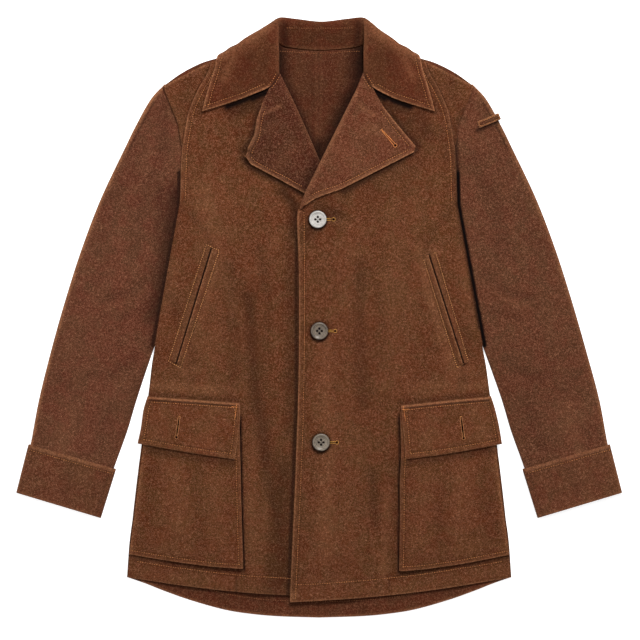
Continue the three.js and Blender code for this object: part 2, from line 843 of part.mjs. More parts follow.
for (const [side, word] of [
  [LEFT, "left"],
  [RIGHT, "right"],
]) {
  add(`back_${word}`, back(side));
  add(`front_${word}`, front(side));
  add(`yoke_${word}`, yoke(side));
  add(`sleeve_${word}`, sleeve(side));
  add(`cuff_${word}`, cuff(side));
  add(`lapel_${word}`, lapel(side));
  add(`chest_lip_${word}_inner`, chestLip(side, -1));
  add(`chest_lip_${word}_outer`, chestLip(side, 1));
  add(`pocket_${word}`, pocket(side));
  add(`flap_${word}`, flap(side));
}
add("collar", collar());
add("sleeve_tab", sleeveTab());
BUTTON_PLACES.forEach(({ x, y }, i) => {
  const mesh = add(`button_${i + 1}`, button(), horn());
  mesh.position.set(x, y, overFront(x, y) + SUEDE / 2 + BUTTON_GAP);
});

export default jacket;
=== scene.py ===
"""A brown suede jacket laid on its back, buttoned, with its collar and lapels folded down."""
import json
import math

import bmesh
import bpy
import numpy as np
from mathutils import Matrix, Vector, noise
from mathutils.bvhtree import BVHTree

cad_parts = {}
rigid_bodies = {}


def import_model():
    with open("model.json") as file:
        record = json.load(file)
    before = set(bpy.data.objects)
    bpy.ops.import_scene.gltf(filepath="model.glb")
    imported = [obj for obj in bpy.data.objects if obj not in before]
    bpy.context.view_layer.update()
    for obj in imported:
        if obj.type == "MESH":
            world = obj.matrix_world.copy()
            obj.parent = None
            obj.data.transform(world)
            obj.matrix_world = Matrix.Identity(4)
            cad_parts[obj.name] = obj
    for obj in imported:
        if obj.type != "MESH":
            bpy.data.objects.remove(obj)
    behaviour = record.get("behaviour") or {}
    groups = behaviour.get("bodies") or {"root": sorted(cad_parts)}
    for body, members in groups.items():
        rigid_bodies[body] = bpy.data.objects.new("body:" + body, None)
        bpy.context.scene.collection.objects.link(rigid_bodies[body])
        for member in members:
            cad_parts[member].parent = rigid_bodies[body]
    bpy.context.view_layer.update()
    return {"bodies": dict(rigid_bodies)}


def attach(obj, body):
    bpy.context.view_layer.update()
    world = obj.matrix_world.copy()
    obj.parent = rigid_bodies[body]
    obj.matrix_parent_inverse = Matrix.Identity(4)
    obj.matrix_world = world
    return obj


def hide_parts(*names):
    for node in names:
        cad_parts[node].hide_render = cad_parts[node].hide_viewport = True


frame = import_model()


# ---- The suede ----
# Split leather about 2 mm thick, brushed to a matt nap. It is mottled from red to yellow brown, full of
# short fibres and rubbed to tan where it is touched. Its colour also holds painted highlights on the tops
# of folds and painted shade in creases, grooves, gaps and under edges. All the pieces are cut from it.

# Sizes are in millimetres, and colours go from 0 to 255.
MM = 0.001
SUEDE = 2.0
BODY = next(iter(frame["bodies"]))
NAP_FIBRE = (176, 122, 92)


def linear(red, green, blue):
    """A colour given from 0 to 255, as a shader wants it."""
    return tuple((c / 255) ** 2.2 for c in (red, green, blue)) + (1.0,)


def shader_group(name, inputs, outputs):
    """An empty node group, with its input and output nodes."""
    group = bpy.data.node_groups.new(name, "ShaderNodeTree")
    for socket_name, kind, value in inputs:
        socket = group.interface.new_socket(socket_name, in_out="INPUT", socket_type=kind)
        socket.default_value = value
    for socket_name, kind in outputs:
        group.interface.new_socket(socket_name, in_out="OUTPUT", socket_type=kind)
    return group, group.nodes.new("NodeGroupInput").outputs, group.nodes.new("NodeGroupOutput").inputs


def stretched_levels(tree, value, low, high):
    """A mask that is 0 where a value is at one level and 1 where it is at another."""
    levels = tree.nodes.new("ShaderNodeMapRange")
    levels.inputs["From Min"].default_value = low
    levels.inputs["From Max"].default_value = high
    tree.links.new(value, levels.inputs["Value"])
    return levels.outputs["Result"]


def noise_mask(tree, scale, low, high, detail=2.0, roughness=0.5, distortion=0.0, stretch=(1, 1, 1)):
    """Noise on object coordinates, from 0 at one level to 1 at another."""
    place = tree.nodes.new("ShaderNodeTexCoord")
    mapping = tree.nodes.new("ShaderNodeMapping")
    mapping.inputs["Scale"].default_value = stretch
    texture = tree.nodes.new("ShaderNodeTexNoise")
    texture.inputs["Scale"].default_value = scale
    texture.inputs["Detail"].default_value = detail
    texture.inputs["Roughness"].default_value = roughness
    texture.inputs["Distortion"].default_value = distortion
    tree.links.new(place.outputs["Object"], mapping.inputs["Vector"])
    tree.links.new(mapping.outputs["Vector"], texture.inputs["Vector"])
    return stretched_levels(tree, texture.outputs["Fac"], low, high)


def mix_colours(tree, amount, first, second, mode="MIX"):
    """Two colours mixed by a mask or a number."""
    mix = tree.nodes.new("ShaderNodeMix")
    mix.data_type = "RGBA"
    mix.blend_type = mode
    for socket, value in ((mix.inputs[0], amount), (mix.inputs[6], first), (mix.inputs[7], second)):
        if isinstance(value, (int, float, tuple)):
            socket.default_value = value
        else:
            tree.links.new(value, socket)
    return mix.outputs[2]


def maths(tree, operation, first, second):
    """A Math node's result."""
    node = tree.nodes.new("ShaderNodeMath")
    node.operation = operation
    for socket, value in zip(node.inputs, (first, second)):
        if isinstance(value, (int, float)):
            socket.default_value = value
        else:
            tree.links.new(value, socket)
    return node.outputs[0]


def curly_hairs(tree, scale, thin, stretch):
    """Short curly fibres: lines where smooth noise crosses its middle, cut to length by other noise."""
    smooth = noise_mask(tree, scale, 0, 1, detail=1, distortion=1.6, stretch=stretch)
    off_middle = maths(tree, "ABSOLUTE", maths(tree, "SUBTRACT", smooth, 0.5), 0)
    lengths = noise_mask(tree, 0.9 * scale, 0.5, 0.58, detail=1, stretch=(1, 1, 1.3))
    return maths(tree, "MULTIPLY", stretched_levels(tree, off_middle, thin, 0), lengths)


nap, nap_in, nap_out = shader_group(
    "nap",
    [
        ("Brown", "NodeSocketColor", linear(87, 53, 33)),
        ("Red Brown", "NodeSocketColor", linear(87, 45, 29)),
        ("Fibre", "NodeSocketColor", linear(*NAP_FIBRE)),
        # The tan below paints rubbed nap and painted highlights; the near black two lines down is painted
        # shade.
        ("Rub And Highlight", "NodeSocketColor", linear(196, 132, 92)),
        ("Deep", "NodeSocketColor", linear(30, 16, 9)),
        ("Shade Colour", "NodeSocketColor", linear(10, 4, 2)),
        ("Wear And Highlight", "NodeSocketFloat", 0.0),
        ("Painted Shade", "NodeSocketFloat", 0.0),
    ],
    [("Color", "NodeSocketColor"), ("Roughness", "NodeSocketFloat"), ("Height", "NodeSocketFloat")],
)
patches = noise_mask(nap, 9, 0.4, 0.6, detail=3, roughness=0.6)
mottle = noise_mask(nap, 44, 0.4, 0.6, detail=2, roughness=0.5, distortion=0.4)
tufts = noise_mask(nap, 380, 0.36, 0.64, detail=3, roughness=0.7)
grain = noise_mask(nap, 1050, 0.34, 0.66, detail=2, roughness=0.8)
hairs = maths(
    nap, "MAXIMUM", curly_hairs(nap, 340, 0.04, (1, 1, 1)), curly_hairs(nap, 640, 0.055, (0.8, 1.1, 1))
)
reddish = maths(nap, "ADD", maths(nap, "MULTIPLY", mottle, 0.56), maths(nap, "MULTIPLY", tufts, 0.16))
reddish = maths(nap, "ADD", reddish, maths(nap, "MULTIPLY", patches, 0.2))
hide_colour = mix_colours(nap, reddish, nap_in["Brown"], nap_in["Red Brown"])
# Rubbed tan nap and painted highlights, as much as the piece's rub attribute says.
rub_and_highlight = maths(nap, "MULTIPLY", nap_in["Wear And Highlight"], maths(nap, "SUBTRACT", 1.4, tufts))
hide_colour = mix_colours(nap, rub_and_highlight, hide_colour, nap_in["Rub And Highlight"])
fine_shade = maths(nap, "ADD", maths(nap, "MULTIPLY", grain, 0.66), maths(nap, "MULTIPLY", tufts, 0.1))
clouds = noise_mask(nap, 74, 0.4, 0.6, detail=3, roughness=0.6, stretch=(1, 1.3, 1))
broad_shade = maths(nap, "ADD", maths(nap, "MULTIPLY", patches, 0.05), maths(nap, "MULTIPLY", clouds, 0.08))
hide_colour = mix_colours(nap, maths(nap, "ADD", fine_shade, broad_shade), hide_colour, nap_in["Deep"])
hide_colour = mix_colours(nap, maths(nap, "MULTIPLY", hairs, 0.54), hide_colour, nap_in["Fibre"])
# Painted shade: the colour goes to near black as much as the piece's shade attribute says.
hide_colour = mix_colours(nap, nap_in["Painted Shade"], hide_colour, nap_in["Shade Colour"])
nap.links.new(hide_colour, nap_out["Color"])
nap.links.new(maths(nap, "ADD", 0.84, maths(nap, "MULTIPLY", grain, 0.12)), nap_out["Roughness"])
raised = maths(nap, "ADD", maths(nap, "MULTIPLY", hairs, 0.6), maths(nap, "MULTIPLY", tufts, 0.3))
nap.links.new(maths(nap, "SUBTRACT", raised, maths(nap, "MULTIPLY", grain, 0.7)), nap_out["Height"])


def new_material(name):
    """A material, its nodes and its Principled BSDF."""
    material = bpy.data.materials.new(name)
    material.use_nodes = True
    return material, material.node_tree, material.node_tree.nodes["Principled BSDF"]


def add_bump(tree, surface, height, strength, distance):
    """Lets a height that changes over the surface tilt its normal."""
    bump = tree.nodes.new("ShaderNodeBump")
    bump.inputs["Strength"].default_value = strength
    bump.inputs["Distance"].default_value = distance * MM
    tree.links.new(height, bump.inputs["Height"])
    tree.links.new(bump.outputs["Normal"], surface.inputs["Normal"])


def suede(name, brown, red_brown, fibre=NAP_FIBRE):
    """Suede of one tone. Each piece is brushed its own way, and its tone is set a little lighter or darker
    for how it takes the light: painted light and shade.
    """
    material, tree, surface = new_material(name)
    hide = tree.nodes.new("ShaderNodeGroup")
    hide.node_tree = nap
    hide.inputs["Brown"].default_value = linear(*brown)
    hide.inputs["Red Brown"].default_value = linear(*red_brown)
    hide.inputs["Fibre"].default_value = linear(*fibre)
    # One attribute brings rubbed tan nap with painted highlights, the other painted shade.
    for attribute_name, socket in (("wear_and_highlight", "Wear And Highlight"), ("creased", "Painted Shade")):
        attribute = tree.nodes.new("ShaderNodeAttribute")
        attribute.attribute_name = attribute_name
        tree.links.new(attribute.outputs["Fac"], hide.inputs[socket])
    add_bump(tree, surface, hide.outputs["Height"], strength=0.75, distance=0.5)
    tree.links.new(hide.outputs["Color"], surface.inputs["Base Color"])
    tree.links.new(hide.outputs["Roughness"], surface.inputs["Roughness"])
    surface.inputs["Specular IOR Level"].default_value = 0.06
    surface.inputs["Sheen Weight"].default_value = 0.08
    surface.inputs["Sheen Roughness"].default_value = 0.45
    surface.inputs["Sheen Tint"].default_value = linear(214, 160, 124)
    return material


def mark(path, wide, high=0.0, wear_and_highlight=0.0, creased=0.0, off=0.0, power=2):
    """A ridge or trough, a rub or painted highlight, or painted shade along a line in the suede, or a
    distance off it.
    """
    shape = {"path": path, "wide": wide, "off": off, "power": power}
    return {**shape, "high": high, "wear_and_highlight": wear_and_highlight, "creased": creased}


def nearness(x, y, path, wide, off=0.0, power=2):
    """1 on a line, or at a distance off it, falling to 0 beside it, more sharply for a higher power."""
    away = np.full(len(x), 1e9)
    for start, end in zip(path[:-1], path[1:]):
        run_x, run_y = end[0] - start[0], end[1] - start[1]
        t = np.clip(((x - start[0]) * run_x + (y - start[1]) * run_y) / (run_x**2 + run_y**2 + 1e-9), 0, 1)
        away = np.minimum(away, np.hypot(x - start[0] - t * run_x, y - start[1] - t * run_y))
    return np.exp(-(np.abs((away - off) / wide) ** power))


RUMPLE = {"level": 0.35, "broad": 0.55, "fine": 0.16}
BROAD_WAVE = 55
FINE_WAVE = 13
# How near the two ends of a sheet that goes round a tube must be to become one.
WELD = 0.01


def rumple(x, y):
    """The suede never lies quite level: how far it stands up, in mm."""
    places = np.column_stack([x, y, np.zeros(len(x))])
    broad = np.array([noise.noise(Vector(p)) for p in places / BROAD_WAVE])
    fine = np.array([noise.noise(Vector(p)) for p in places / FINE_WAVE])
    return np.maximum(RUMPLE["level"] + RUMPLE["broad"] * broad + RUMPLE["fine"] * fine, 0)


def press(xyz, marks):
    """Raises or lowers the cloth along its marks. Gives the places, the rubbing with painted highlights,
    and the painted shade.
    """
    wear_and_highlight = np.zeros(len(xyz))
    creased = np.zeros(len(xyz))
    for one in marks:
        near = nearness(xyz[:, 0], xyz[:, 1], one["path"], one["wide"], one["off"], one["power"])
        xyz[:, 2] += one["high"] * near
        wear_and_highlight = np.maximum(wear_and_highlight, one["wear_and_highlight"] * near)
        creased = np.maximum(creased, one["creased"] * near)
    return xyz, wear_and_highlight, creased


def finished(name, bm, material=None):
    """The object of a finished mesh."""
    mesh = bpy.data.meshes.new(name)
    bm.to_mesh(mesh)
    bm.free()
    if material:
        mesh.shade_smooth()
        mesh.materials.append(material)
    piece = bpy.data.objects.new(name, mesh)
    bpy.context.collection.objects.link(piece)
    return piece


def cloth(node, place, across, down, material, wall=SUEDE, closed=False, rounding=0.36):
    """A sheet of suede in a node's place: a grid moved to place(u, v), with a thickness and soft edges."""
    bm = bmesh.new()
    bmesh.ops.create_grid(bm, x_segments=across, y_segments=down, size=0.5)
    flat = np.array([vert.co[:2] for vert in bm.verts])
    xyz, wear_and_highlight, creased = place(flat[:, 0] + 0.5, 0.5 - flat[:, 1])
    # Each vertex keeps how rubbed it is, with painted highlights, and how much painted shade it has.
    wear_and_highlight_layer = bm.verts.layers.float.new("wear_and_highlight")
    painted_shade_layer = bm.verts.layers.float.new("creased")
    for vert, co, highlight_and_wear, crease in zip(bm.verts, xyz * MM, wear_and_highlight, creased):
        vert.co = co
        vert[wear_and_highlight_layer] = highlight_and_wear
        vert[painted_shade_layer] = crease
    if closed:
        bmesh.ops.remove_doubles(bm, verts=bm.verts, dist=WELD * MM)
    bmesh.ops.recalc_face_normals(bm, faces=bm.faces)
    piece = finished(f"{node}_suede", bm, material)
    thickness = piece.modifiers.new("thickness", "SOLIDIFY")
    thickness.thickness = wall * MM
    thickness.offset = 0
    edge = piece.modifiers.new("soft edge", "BEVEL")
    edge.width = rounding * wall * MM
    edge.segments = 2
    edge.limit_method = "ANGLE"
    edge.angle_limit = math.radians(50)
    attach(piece, BODY)
    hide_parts(node)
    return piece


# ---- Topstitching ----
# Stitches 3.4 mm apart through both layers, in tan thread on most seams, paler at the chest pockets and
# duller on the back. Each is pulled down into the nap at its ends, so only its rounded back shows.

STITCH = {"long": 2.4, "pitch": 3.4, "wide": 0.9, "proud": 0.1, "uneven": 0.6, "wave": 4}
LOOK_AHEAD = 0.5
ABOVE_ALL = 60
# A stitched groove gets painted shade in it.
GROOVE = {"wide": 2.0, "high": -0.6, "creased": 0.3}


def thread(name, colour):
    """Matt sewing thread, a little uneven in its dye."""
    material, tree, surface = new_material(name)
    dark = tuple(0.55 * c for c in linear(*colour)[:3]) + (1.0,)
    dye = mix_colours(tree, noise_mask(tree, 160, 0.4, 0.62, detail=3), linear(*colour), dark)
    tree.links.new(dye, surface.inputs["Base Color"])
    add_bump(tree, surface, noise_mask(tree, 2600, 0.3, 0.7), strength=0.4, distance=0.15)
    surface.inputs["Roughness"].default_value = 0.7
    surface.inputs["Specular IOR Level"].default_value = 0.12
    surface.inputs["Sheen Weight"].default_value = 0.05
    return material


tan_thread = thread("tan thread", (190, 124, 74))
pale_thread = thread("pale thread", (206, 142, 88))
dull_thread = thread("dull thread", (142, 88, 54))


def stitched(line, **unlike):
    """The groove that a row of topstitching pulls into the suede, with painted shade in it, and with what
    is unlike the usual one.
    """
    return mark(line, **{**GROOVE, **unlike})


def surface_under(piece):
    """What a ray from above meets: the piece's upper side and the way it faces."""
    mesh = piece.data
    tree = BVHTree.FromPolygons([v.co[:] for v in mesh.vertices], [p.vertices[:] for p in mesh.polygons])
    half = piece.modifiers["thickness"].thickness / 2

    def at(x, y):
        spot, normal, _, _ = tree.ray_cast(Vector((x * MM, y * MM, ABOVE_ALL * MM)), Vector((0, 0, -1)))
        if spot is None:
            return None
        if normal.z < 0:
            normal.negate()
        return spot + half * normal, normal

    return at


def lay_stitch(bm, surface, x, y, turn, long, wide, proud):
    """One stitch lying on the surface, turned to an angle."""
    hit = surface(x, y)
    if hit is None:
        return
    spot, normal = hit
    ahead = Vector((math.cos(turn), math.sin(turn), 0))
    ahead = (ahead - ahead.dot(normal) * normal).normalized()
    turned = Matrix((ahead, normal.cross(ahead), normal)).transposed().to_4x4()
    size = Matrix.Diagonal((long * MM, wide * MM, wide * MM, 1))
    place = Matrix.Translation(spot + proud * MM * normal) @ turned @ size
    bmesh.ops.create_icosphere(bm, subdivisions=1, radius=0.5, matrix=place)


def thread_piece(name, bm, material):
    """Makes a piece of finished stitches."""
    piece = finished(name, bm, material)
    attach(piece, BODY)
    return piece


def topstitch(
    name, piece, lines, material=tan_thread, pitch=STITCH["pitch"], long=STITCH["long"], wide=STITCH["wide"]
):
    """Rows of stitches along some lines on a piece."""
    surface = surface_under(piece)
    bm = bmesh.new()
    for line in lines:
        run = np.concatenate([[0], np.cumsum(np.hypot(*np.diff(line, axis=0).T))])
        stops = np.arange(pitch / 2, run[-1], pitch)
        for stop in stops:
            x, y = (np.interp(stop, run, line[:, k]) for k in (0, 1))
            next_x, next_y = (np.interp(stop + LOOK_AHEAD, run, line[:, k]) for k in (0, 1))
            last_x, last_y = (np.interp(stop - LOOK_AHEAD, run, line[:, k]) for k in (0, 1))
            turn = math.atan2(next_y - last_y, next_x - last_x)
            sunk = STITCH["uneven"] * noise.noise(Vector((x, y, 0)) / STITCH["wave"])
            lay_stitch(bm, surface, x, y, turn, long, wide, STITCH["proud"] - sunk)
    return thread_piece(name, bm, material)


# ---- Back panels ----
# Two suede panels joined down the middle of the back, with a turned and stitched hem. They lie flat on the
# surface, and rise near the neck over the collar's fall, which is tucked below them.

LEFT = 1
RIGHT = -1
SEAM = 0.3
COLLAR_WALL = 2.6
COLLAR_LIFT = COLLAR_WALL + SEAM
BACK_MID = SUEDE / 2
# The neck's opening is moved sideways as a whole, and the left side below the arm swings outwards.
NECK_SHIFT = {"by": 4, "out": 100, "out_fade": 35, "above": 280, "fade": 50}
LEFT_SWING = {"by": 2, "below": -10, "fade": 110}
NECK_RISE = {"above": 300, "fade": 24, "out": 180, "out_fade": 30}
# How finely a curve is measured, and how far apart the points of a line beside it are.
STEPS_A_SPAN = 40
INSET_SAMPLES = 160
INSET_SPACING = 4
BACK_HEM_DEPTH = 22.5
BACK_RUMPLE = 0.3
NECK_STITCH = {"y": 375, "rise": 3, "over": 62, "from": 1.5, "to": 60, "step": 2}
BACK_TOP = 378
BACK_FOOT = -426
HEM_CORNER = [271.8, -368.5]
SHOULDER = [[100, 384.5], [142, 368.8], [165.4, 361.6], [194.1, 347.2], [217, 331]]
BACK_OUTER = [
    [217, 331],
    [202, 294.5],
    [193.6, 274.5],
    [188.2, 243],
    [188.6, 207],
    [186.3, 160],
    [192.6, 124.2],
    [210.2, 42.7],
    [220.4, 2],
    [229, -30],
    [235.5, -60],
    [240.7, -103],
    [251, -188],
    [262, -273],
    [268, -316],
    HEM_CORNER,
]
BACK_HEM = [[60, -424], [94, -421], [131, -415.3], [182, -401.2], [222, -387], [243.5, -378.4], HEM_CORNER]
BACK_NECK = [[36, 380.6], [55, 384], [66, 390.5], [72, 396], *SHOULDER]
back_suede = suede("suede back", (88, 53, 35), (95, 46, 31), (158, 108, 80))


def ease(t):
    """A smooth step: 0 below 0, 1 above 1."""
    t = np.clip(t, 0, 1)
    return t * t * (3 - 2 * t)


def along(places, at, even=True):
    """Points on the smooth line through places, at fractions of its length or, if not even, its spans."""
    known = np.array([(*place, 0.0)[:3] for place in places], float)
    known = np.vstack([2 * known[0] - known[1], known, 2 * known[-1] - known[-2]])
    spans = len(known) - 3

    def point(t):
        span = np.minimum((t * spans).astype(int), spans - 1)
        w = (t * spans - span)[:, None]
        a, b, c, d = (known[span + k] for k in range(4))
        pairs = ((a, b), (b, c), (c, d))
        ab, bc, cd = (np.sqrt(np.linalg.norm(q - p, axis=1, keepdims=True)) for p, q in pairs)
        leave = ((b - a) / ab - (c - a) / (ab + bc) + (c - b) / bc) * bc
        arrive = ((c - b) / bc - (d - b) / (bc + cd) + (d - c) / cd) * bc
        square, cube = 3 * (c - b) - 2 * leave - arrive, 2 * (b - c) + leave + arrive
        return b + leave * w + square * w**2 + cube * w**3

    at = np.atleast_1d(np.asarray(at, float))
    if even:
        steps = np.linspace(0, 1, STEPS_A_SPAN * spans + 1)
        run = np.concatenate([[0], np.cumsum(np.linalg.norm(np.diff(point(steps), axis=0), axis=1))])
        at = np.interp(at * run[-1], run, steps)
    return point(at)


def inset(places, distance, start=0.0, end=0.0):
    """The line beside an edge, a distance to the left of its direction, without a length at each end."""
    samples = along(places, np.linspace(0, 1, INSET_SAMPLES))
    length = np.cumsum(np.linalg.norm(np.diff(samples, axis=0), axis=1))[-1]
    count = max(3, int((length - start - end) / INSET_SPACING))
    line = along(places, np.linspace(start / length, 1 - end / length, count))
    ahead = np.gradient(line[:, :2], axis=0)
    ahead /= np.linalg.norm(ahead, axis=1, keepdims=True)
    line[:, 0] -= ahead[:, 1] * distance
    line[:, 1] += ahead[:, 0] * distance
    return line[:, :2]


def moved(side, out, y):
    """How far a place is moved with the neck's opening, or with the left side's swing."""
    neck = ease((NECK_SHIFT["out"] - out) / NECK_SHIFT["out_fade"])
    neck = NECK_SHIFT["by"] * neck * ease((y - NECK_SHIFT["above"]) / NECK_SHIFT["fade"])
    swing = LEFT_SWING["by"] if side == LEFT else 0
    return neck, swing * ease((LEFT_SWING["below"] - y) / LEFT_SWING["fade"])


def on_side(side, places):
    """A table of [out, y] or [out, y, z] on one side of the jacket, moved as that side is."""
    shifts = [moved(side, out, y) for out, y, *_ in places]
    return [[side * out + neck + swing, y, *z] for (out, y, *z), (neck, swing) in zip(places, shifts)]


def marks_on_side(side, marks):
    """Marks given for the left side, on one side of the jacket."""
    return [{**one, "path": on_side(side, one["path"])} for one in marks]


def neck_rise(x, y, before=0.0):
    """How far the collar's fall holds up what lies on it. It starts a distance before the neck."""
    upwards = ease((y - NECK_RISE["above"] + before) / NECK_RISE["fade"])
    return COLLAR_LIFT * upwards * ease((NECK_RISE["out"] + before - np.abs(x)) / NECK_RISE["out_fade"])


def stretched(inner, outer, top, bottom, u, v):
    """Places between four edges: inner and outer run downwards, top and bottom run outwards."""
    first, last = along(inner, v), along(outer, v)
    over, under = along(top, u), along(bottom, u)
    corners = [along(inner, 0), along(outer, 0), along(inner, 1), along(outer, 1)]
    u, v = u[:, None], v[:, None]
    point = (1 - u) * first + u * last + (1 - v) * over + v * under
    point -= (1 - u) * (1 - v) * corners[0] + u * (1 - v) * corners[1]
    return point - (1 - u) * v * corners[2] - u * v * corners[3]


for side, word in ((LEFT, "left"), (RIGHT, "right")):
    back_edges = (
        [[0, BACK_TOP], [0, -30], [0, BACK_FOOT]],
        on_side(side, BACK_OUTER),
        [[0, BACK_TOP], *on_side(side, BACK_NECK)],
        [[0, BACK_FOOT], *on_side(side, BACK_HEM)],
    )
    hem_line = inset(back_edges[3], side * BACK_HEM_DEPTH, start=2, end=14)
    # Painted shade in the middle seam's groove, inside the neck, at the bottom of the V and where the
    # fronts' hem lies over the back, and a faint painted highlight beside the seam. The hem's edge is
    # rubbed.
    back_marks = [
        stitched(hem_line),
        mark([[0, 390], [0, BACK_FOOT]], 1.2, high=-0.2, creased=0.12),
        mark([[0, 390], [0, BACK_FOOT]], 1.6, off=2.4, high=0.2, wear_and_highlight=0.1),
        mark(back_edges[3], 1.2, wear_and_highlight=0.45),
        mark([[-60, 402], [60, 402]], 18, creased=0.3),
        mark([[0, 372], [0, 250]], 75, creased=0.27),
        mark([[0, 244], [0, 190]], 15, creased=0.85),
        mark([[side * 66, 396], [side * 60, 340], [side * 4, 215]], 19, creased=0.82),
        mark([[side * 64, 384], [side * 60, 344]], 24, creased=0.88),
        mark([[side * 20, -397], [side * 130, -388], [side * 260, -366]], 9, creased=0.28),
        mark([[side * 48, 372], [side * 38, 350]], 12, creased=0.24),
    ]

    def place_back(u, v):
        xyz = stretched(*back_edges, u, v)
        x, y = xyz[:, 0], xyz[:, 1]
        xyz[:, 2] = BACK_MID + neck_rise(x, y) + BACK_RUMPLE * rumple(x, y)
        xyz, wear_and_highlight, creased = press(xyz, back_marks)
        xyz[:, 2] = np.maximum(xyz[:, 2], BACK_MID)
        return xyz, wear_and_highlight, creased

    neck_out = np.arange(NECK_STITCH["from"], NECK_STITCH["to"], NECK_STITCH["step"])
    neck_y = NECK_STITCH["y"] + NECK_STITCH["rise"] * ease(neck_out / NECK_STITCH["over"])
    neck_line = np.column_stack([side * neck_out, neck_y])
    back_panel = cloth(f"back_{word}", place_back, across=68, down=190, material=back_suede, rounding=0.14)
    back_stitches = topstitch(f"back_{word}_stitches", back_panel, [hem_line, neck_line], dull_thread)


# ---- Fronts ----
# The wearer's right front lies on the back, and the left front laps over it to the button line. Each is one
# piece of suede with a turned front edge and a stitched hem, and its armhole edge is topstitched.

FRONT_MID = SUEDE + SEAM + SUEDE / 2
FRONT_FULL = {"high": 1.2, "fade": 40}
HEM_DEPTH = 24
HEM_BOW = {"by": 6, "from": 0.88}
EDGE_STITCH = 7.4
ARMHOLE_STITCH = 7
SIDE_Y = [-103, -46, 2, 43, 124, 167, 242, 281, 328.7]
SIDE_OUT = [240.7, 233.2, 226.5, 218.8, 203.2, 196.2, 193.4, 201.4, 220.8]
# What the fronts climb over: the sleeve's head at the side, the collar's fall, which stops the folds at
# its edge, and for the left one the right front and the foot of the right lapel. Each step fades out.
SLEEVE_STEP = {"high": 3.4, "wide": 26, "above": -58, "fade": 30}
BELOW_COLLAR = {"y": 326, "slope": 0.364, "out": 73, "fade": 30, "before": 14}
OVERLAP = {"high": 2.6, "inside": 78, "fade": 44}
OVER_LAPEL = {"high": 4.9, "above": 150, "fade": 34, "inside": 80, "side_fade": 65}
BELOW_NECK = {"y": 330, "fade": 70}
FRONT_OUTER = [
    [151.1, 363.6],
    [158.3, 345],
    [170, 325],
    [183.8, 293],
    [193, 243],
    [195.3, 207],
    [195.8, 178],
    [196.2, 169],
    [196.6, 165],
    [215, 62],
    [231.4, -34],
    [241.6, -110],
    [257.5, -230],
    [270, -345],
    HEM_CORNER,
]
ARMHOLE_SECTIONS = 9
EDGE_START = 8
FRONT_INNER = {
    LEFT: [
        [76.6, 395.4],
        [74.2, 373],
        [69.8, 344.2],
        [44, 293],
        [15.4, 235.3],
        [-9, 186],
        [-19.6, 158.5],
        [-22.5, 154],
        [-28.2, 153.4],
        [-27.3, 60],
        [-27.3, -32],
        [-28.5, -110],
        [-32.7, -230],
        [-38.8, -369],
        [-40.3, -404],
    ],
    RIGHT: [
        [-68.8, 395.2],
        [-66.6, 374],
        [-61.8, 345.2],
        [-34, 292],
        [-10, 237],
        [7.6, 192],
        [18.6, 162],
        [21.5, 154],
        [24, 147],
        [27, 60],
        [27, -32],
        [27, -110],
        [27, -230],
        [27, -365],
        [27, -397],
    ],
}
# The share of the mesh's rows for each span of those two edges.
FRONT_STEPS = [1, 1, 2, 2, 3, 2, 1, 1, 3, 3, 2, 3, 3, 1]
# The largest folds, which stand up, with a faint painted highlight along their tops.
FOLDS = [
    mark([[-97, -231], [-90, -380]], 14, high=2.0, wear_and_highlight=0.08),
    mark([[-147, 167], [-158, -60]], 28, high=2.2, wear_and_highlight=0.05),
    mark([[-112, 0], [-106, -110]], 20, high=1.5, wear_and_highlight=0.04),
    mark([[46, 90], [42, -330]], 22, high=1.7, wear_and_highlight=0.05),
    mark([[120, 140], [104, -90]], 26, high=2.0, wear_and_highlight=0.05),
]
# Smaller folds and creases: troughs with painted shade in them, and ridges with a painted highlight along
# them.
CREASES = [
    mark([[-163, 176], [-150, 92]], 18, high=0.9, wear_and_highlight=0.12),
    mark([[-100, 30], [-90, -107], [-74, -212], [-56, -300], [-47, -380]], 12, high=-1.2, creased=0.4),
    mark([[-128, 70], [-118, -30], [-124, -112]], 11, high=-0.9, creased=0.2),
    mark([[-84, 96], [-72, 10], [-80, -90]], 9, high=-0.7, creased=0.14),
    mark([[-186, 150], [-158, 118], [-146, 74]], 6, high=-0.8, creased=0.16),
    mark([[-52, 118], [-98, 60]], 8, high=0.7, wear_and_highlight=0.06),
    mark([[-214, 30], [-188, -26], [-180, -90]], 9, high=-0.8, creased=0.18),
    mark([[-72, -214], [-78, -330]], 6, high=0.6, wear_and_highlight=0.1),
    mark([[82, 42], [90, -18], [86, -84]], 9, high=-0.8, creased=0.1),
    mark([[60, 70], [57, -20], [62, -120]], 13, high=-1.0, creased=0.28),
    mark([[66, 24], [71, -50]], 7, high=0.6, wear_and_highlight=0.05),
    mark([[76, -222], [80, -292]], 8, high=-0.9, creased=0.26),
    mark([[8, -30], [14, -180], [10, -340]], 14, high=0.7, wear_and_highlight=0.12),
    mark([[188, 150], [160, 120], [146, 84]], 7, high=-0.8, creased=0.16),
    mark([[22, 136], [62, 118]], 6, high=0.6, wear_and_highlight=0.05),
    mark([[24, -22], [70, -34]], 6, high=0.6, wear_and_highlight=0.05),
    mark([[222, 18], [206, -40], [202, -96]], 9, high=-0.8, creased=0.16),
    mark([[128, 210], [118, 130]], 10, high=-0.6, creased=0.1),
    mark([[98, -250], [92, -372]], 8, high=0.8, wear_and_highlight=0.1),
]
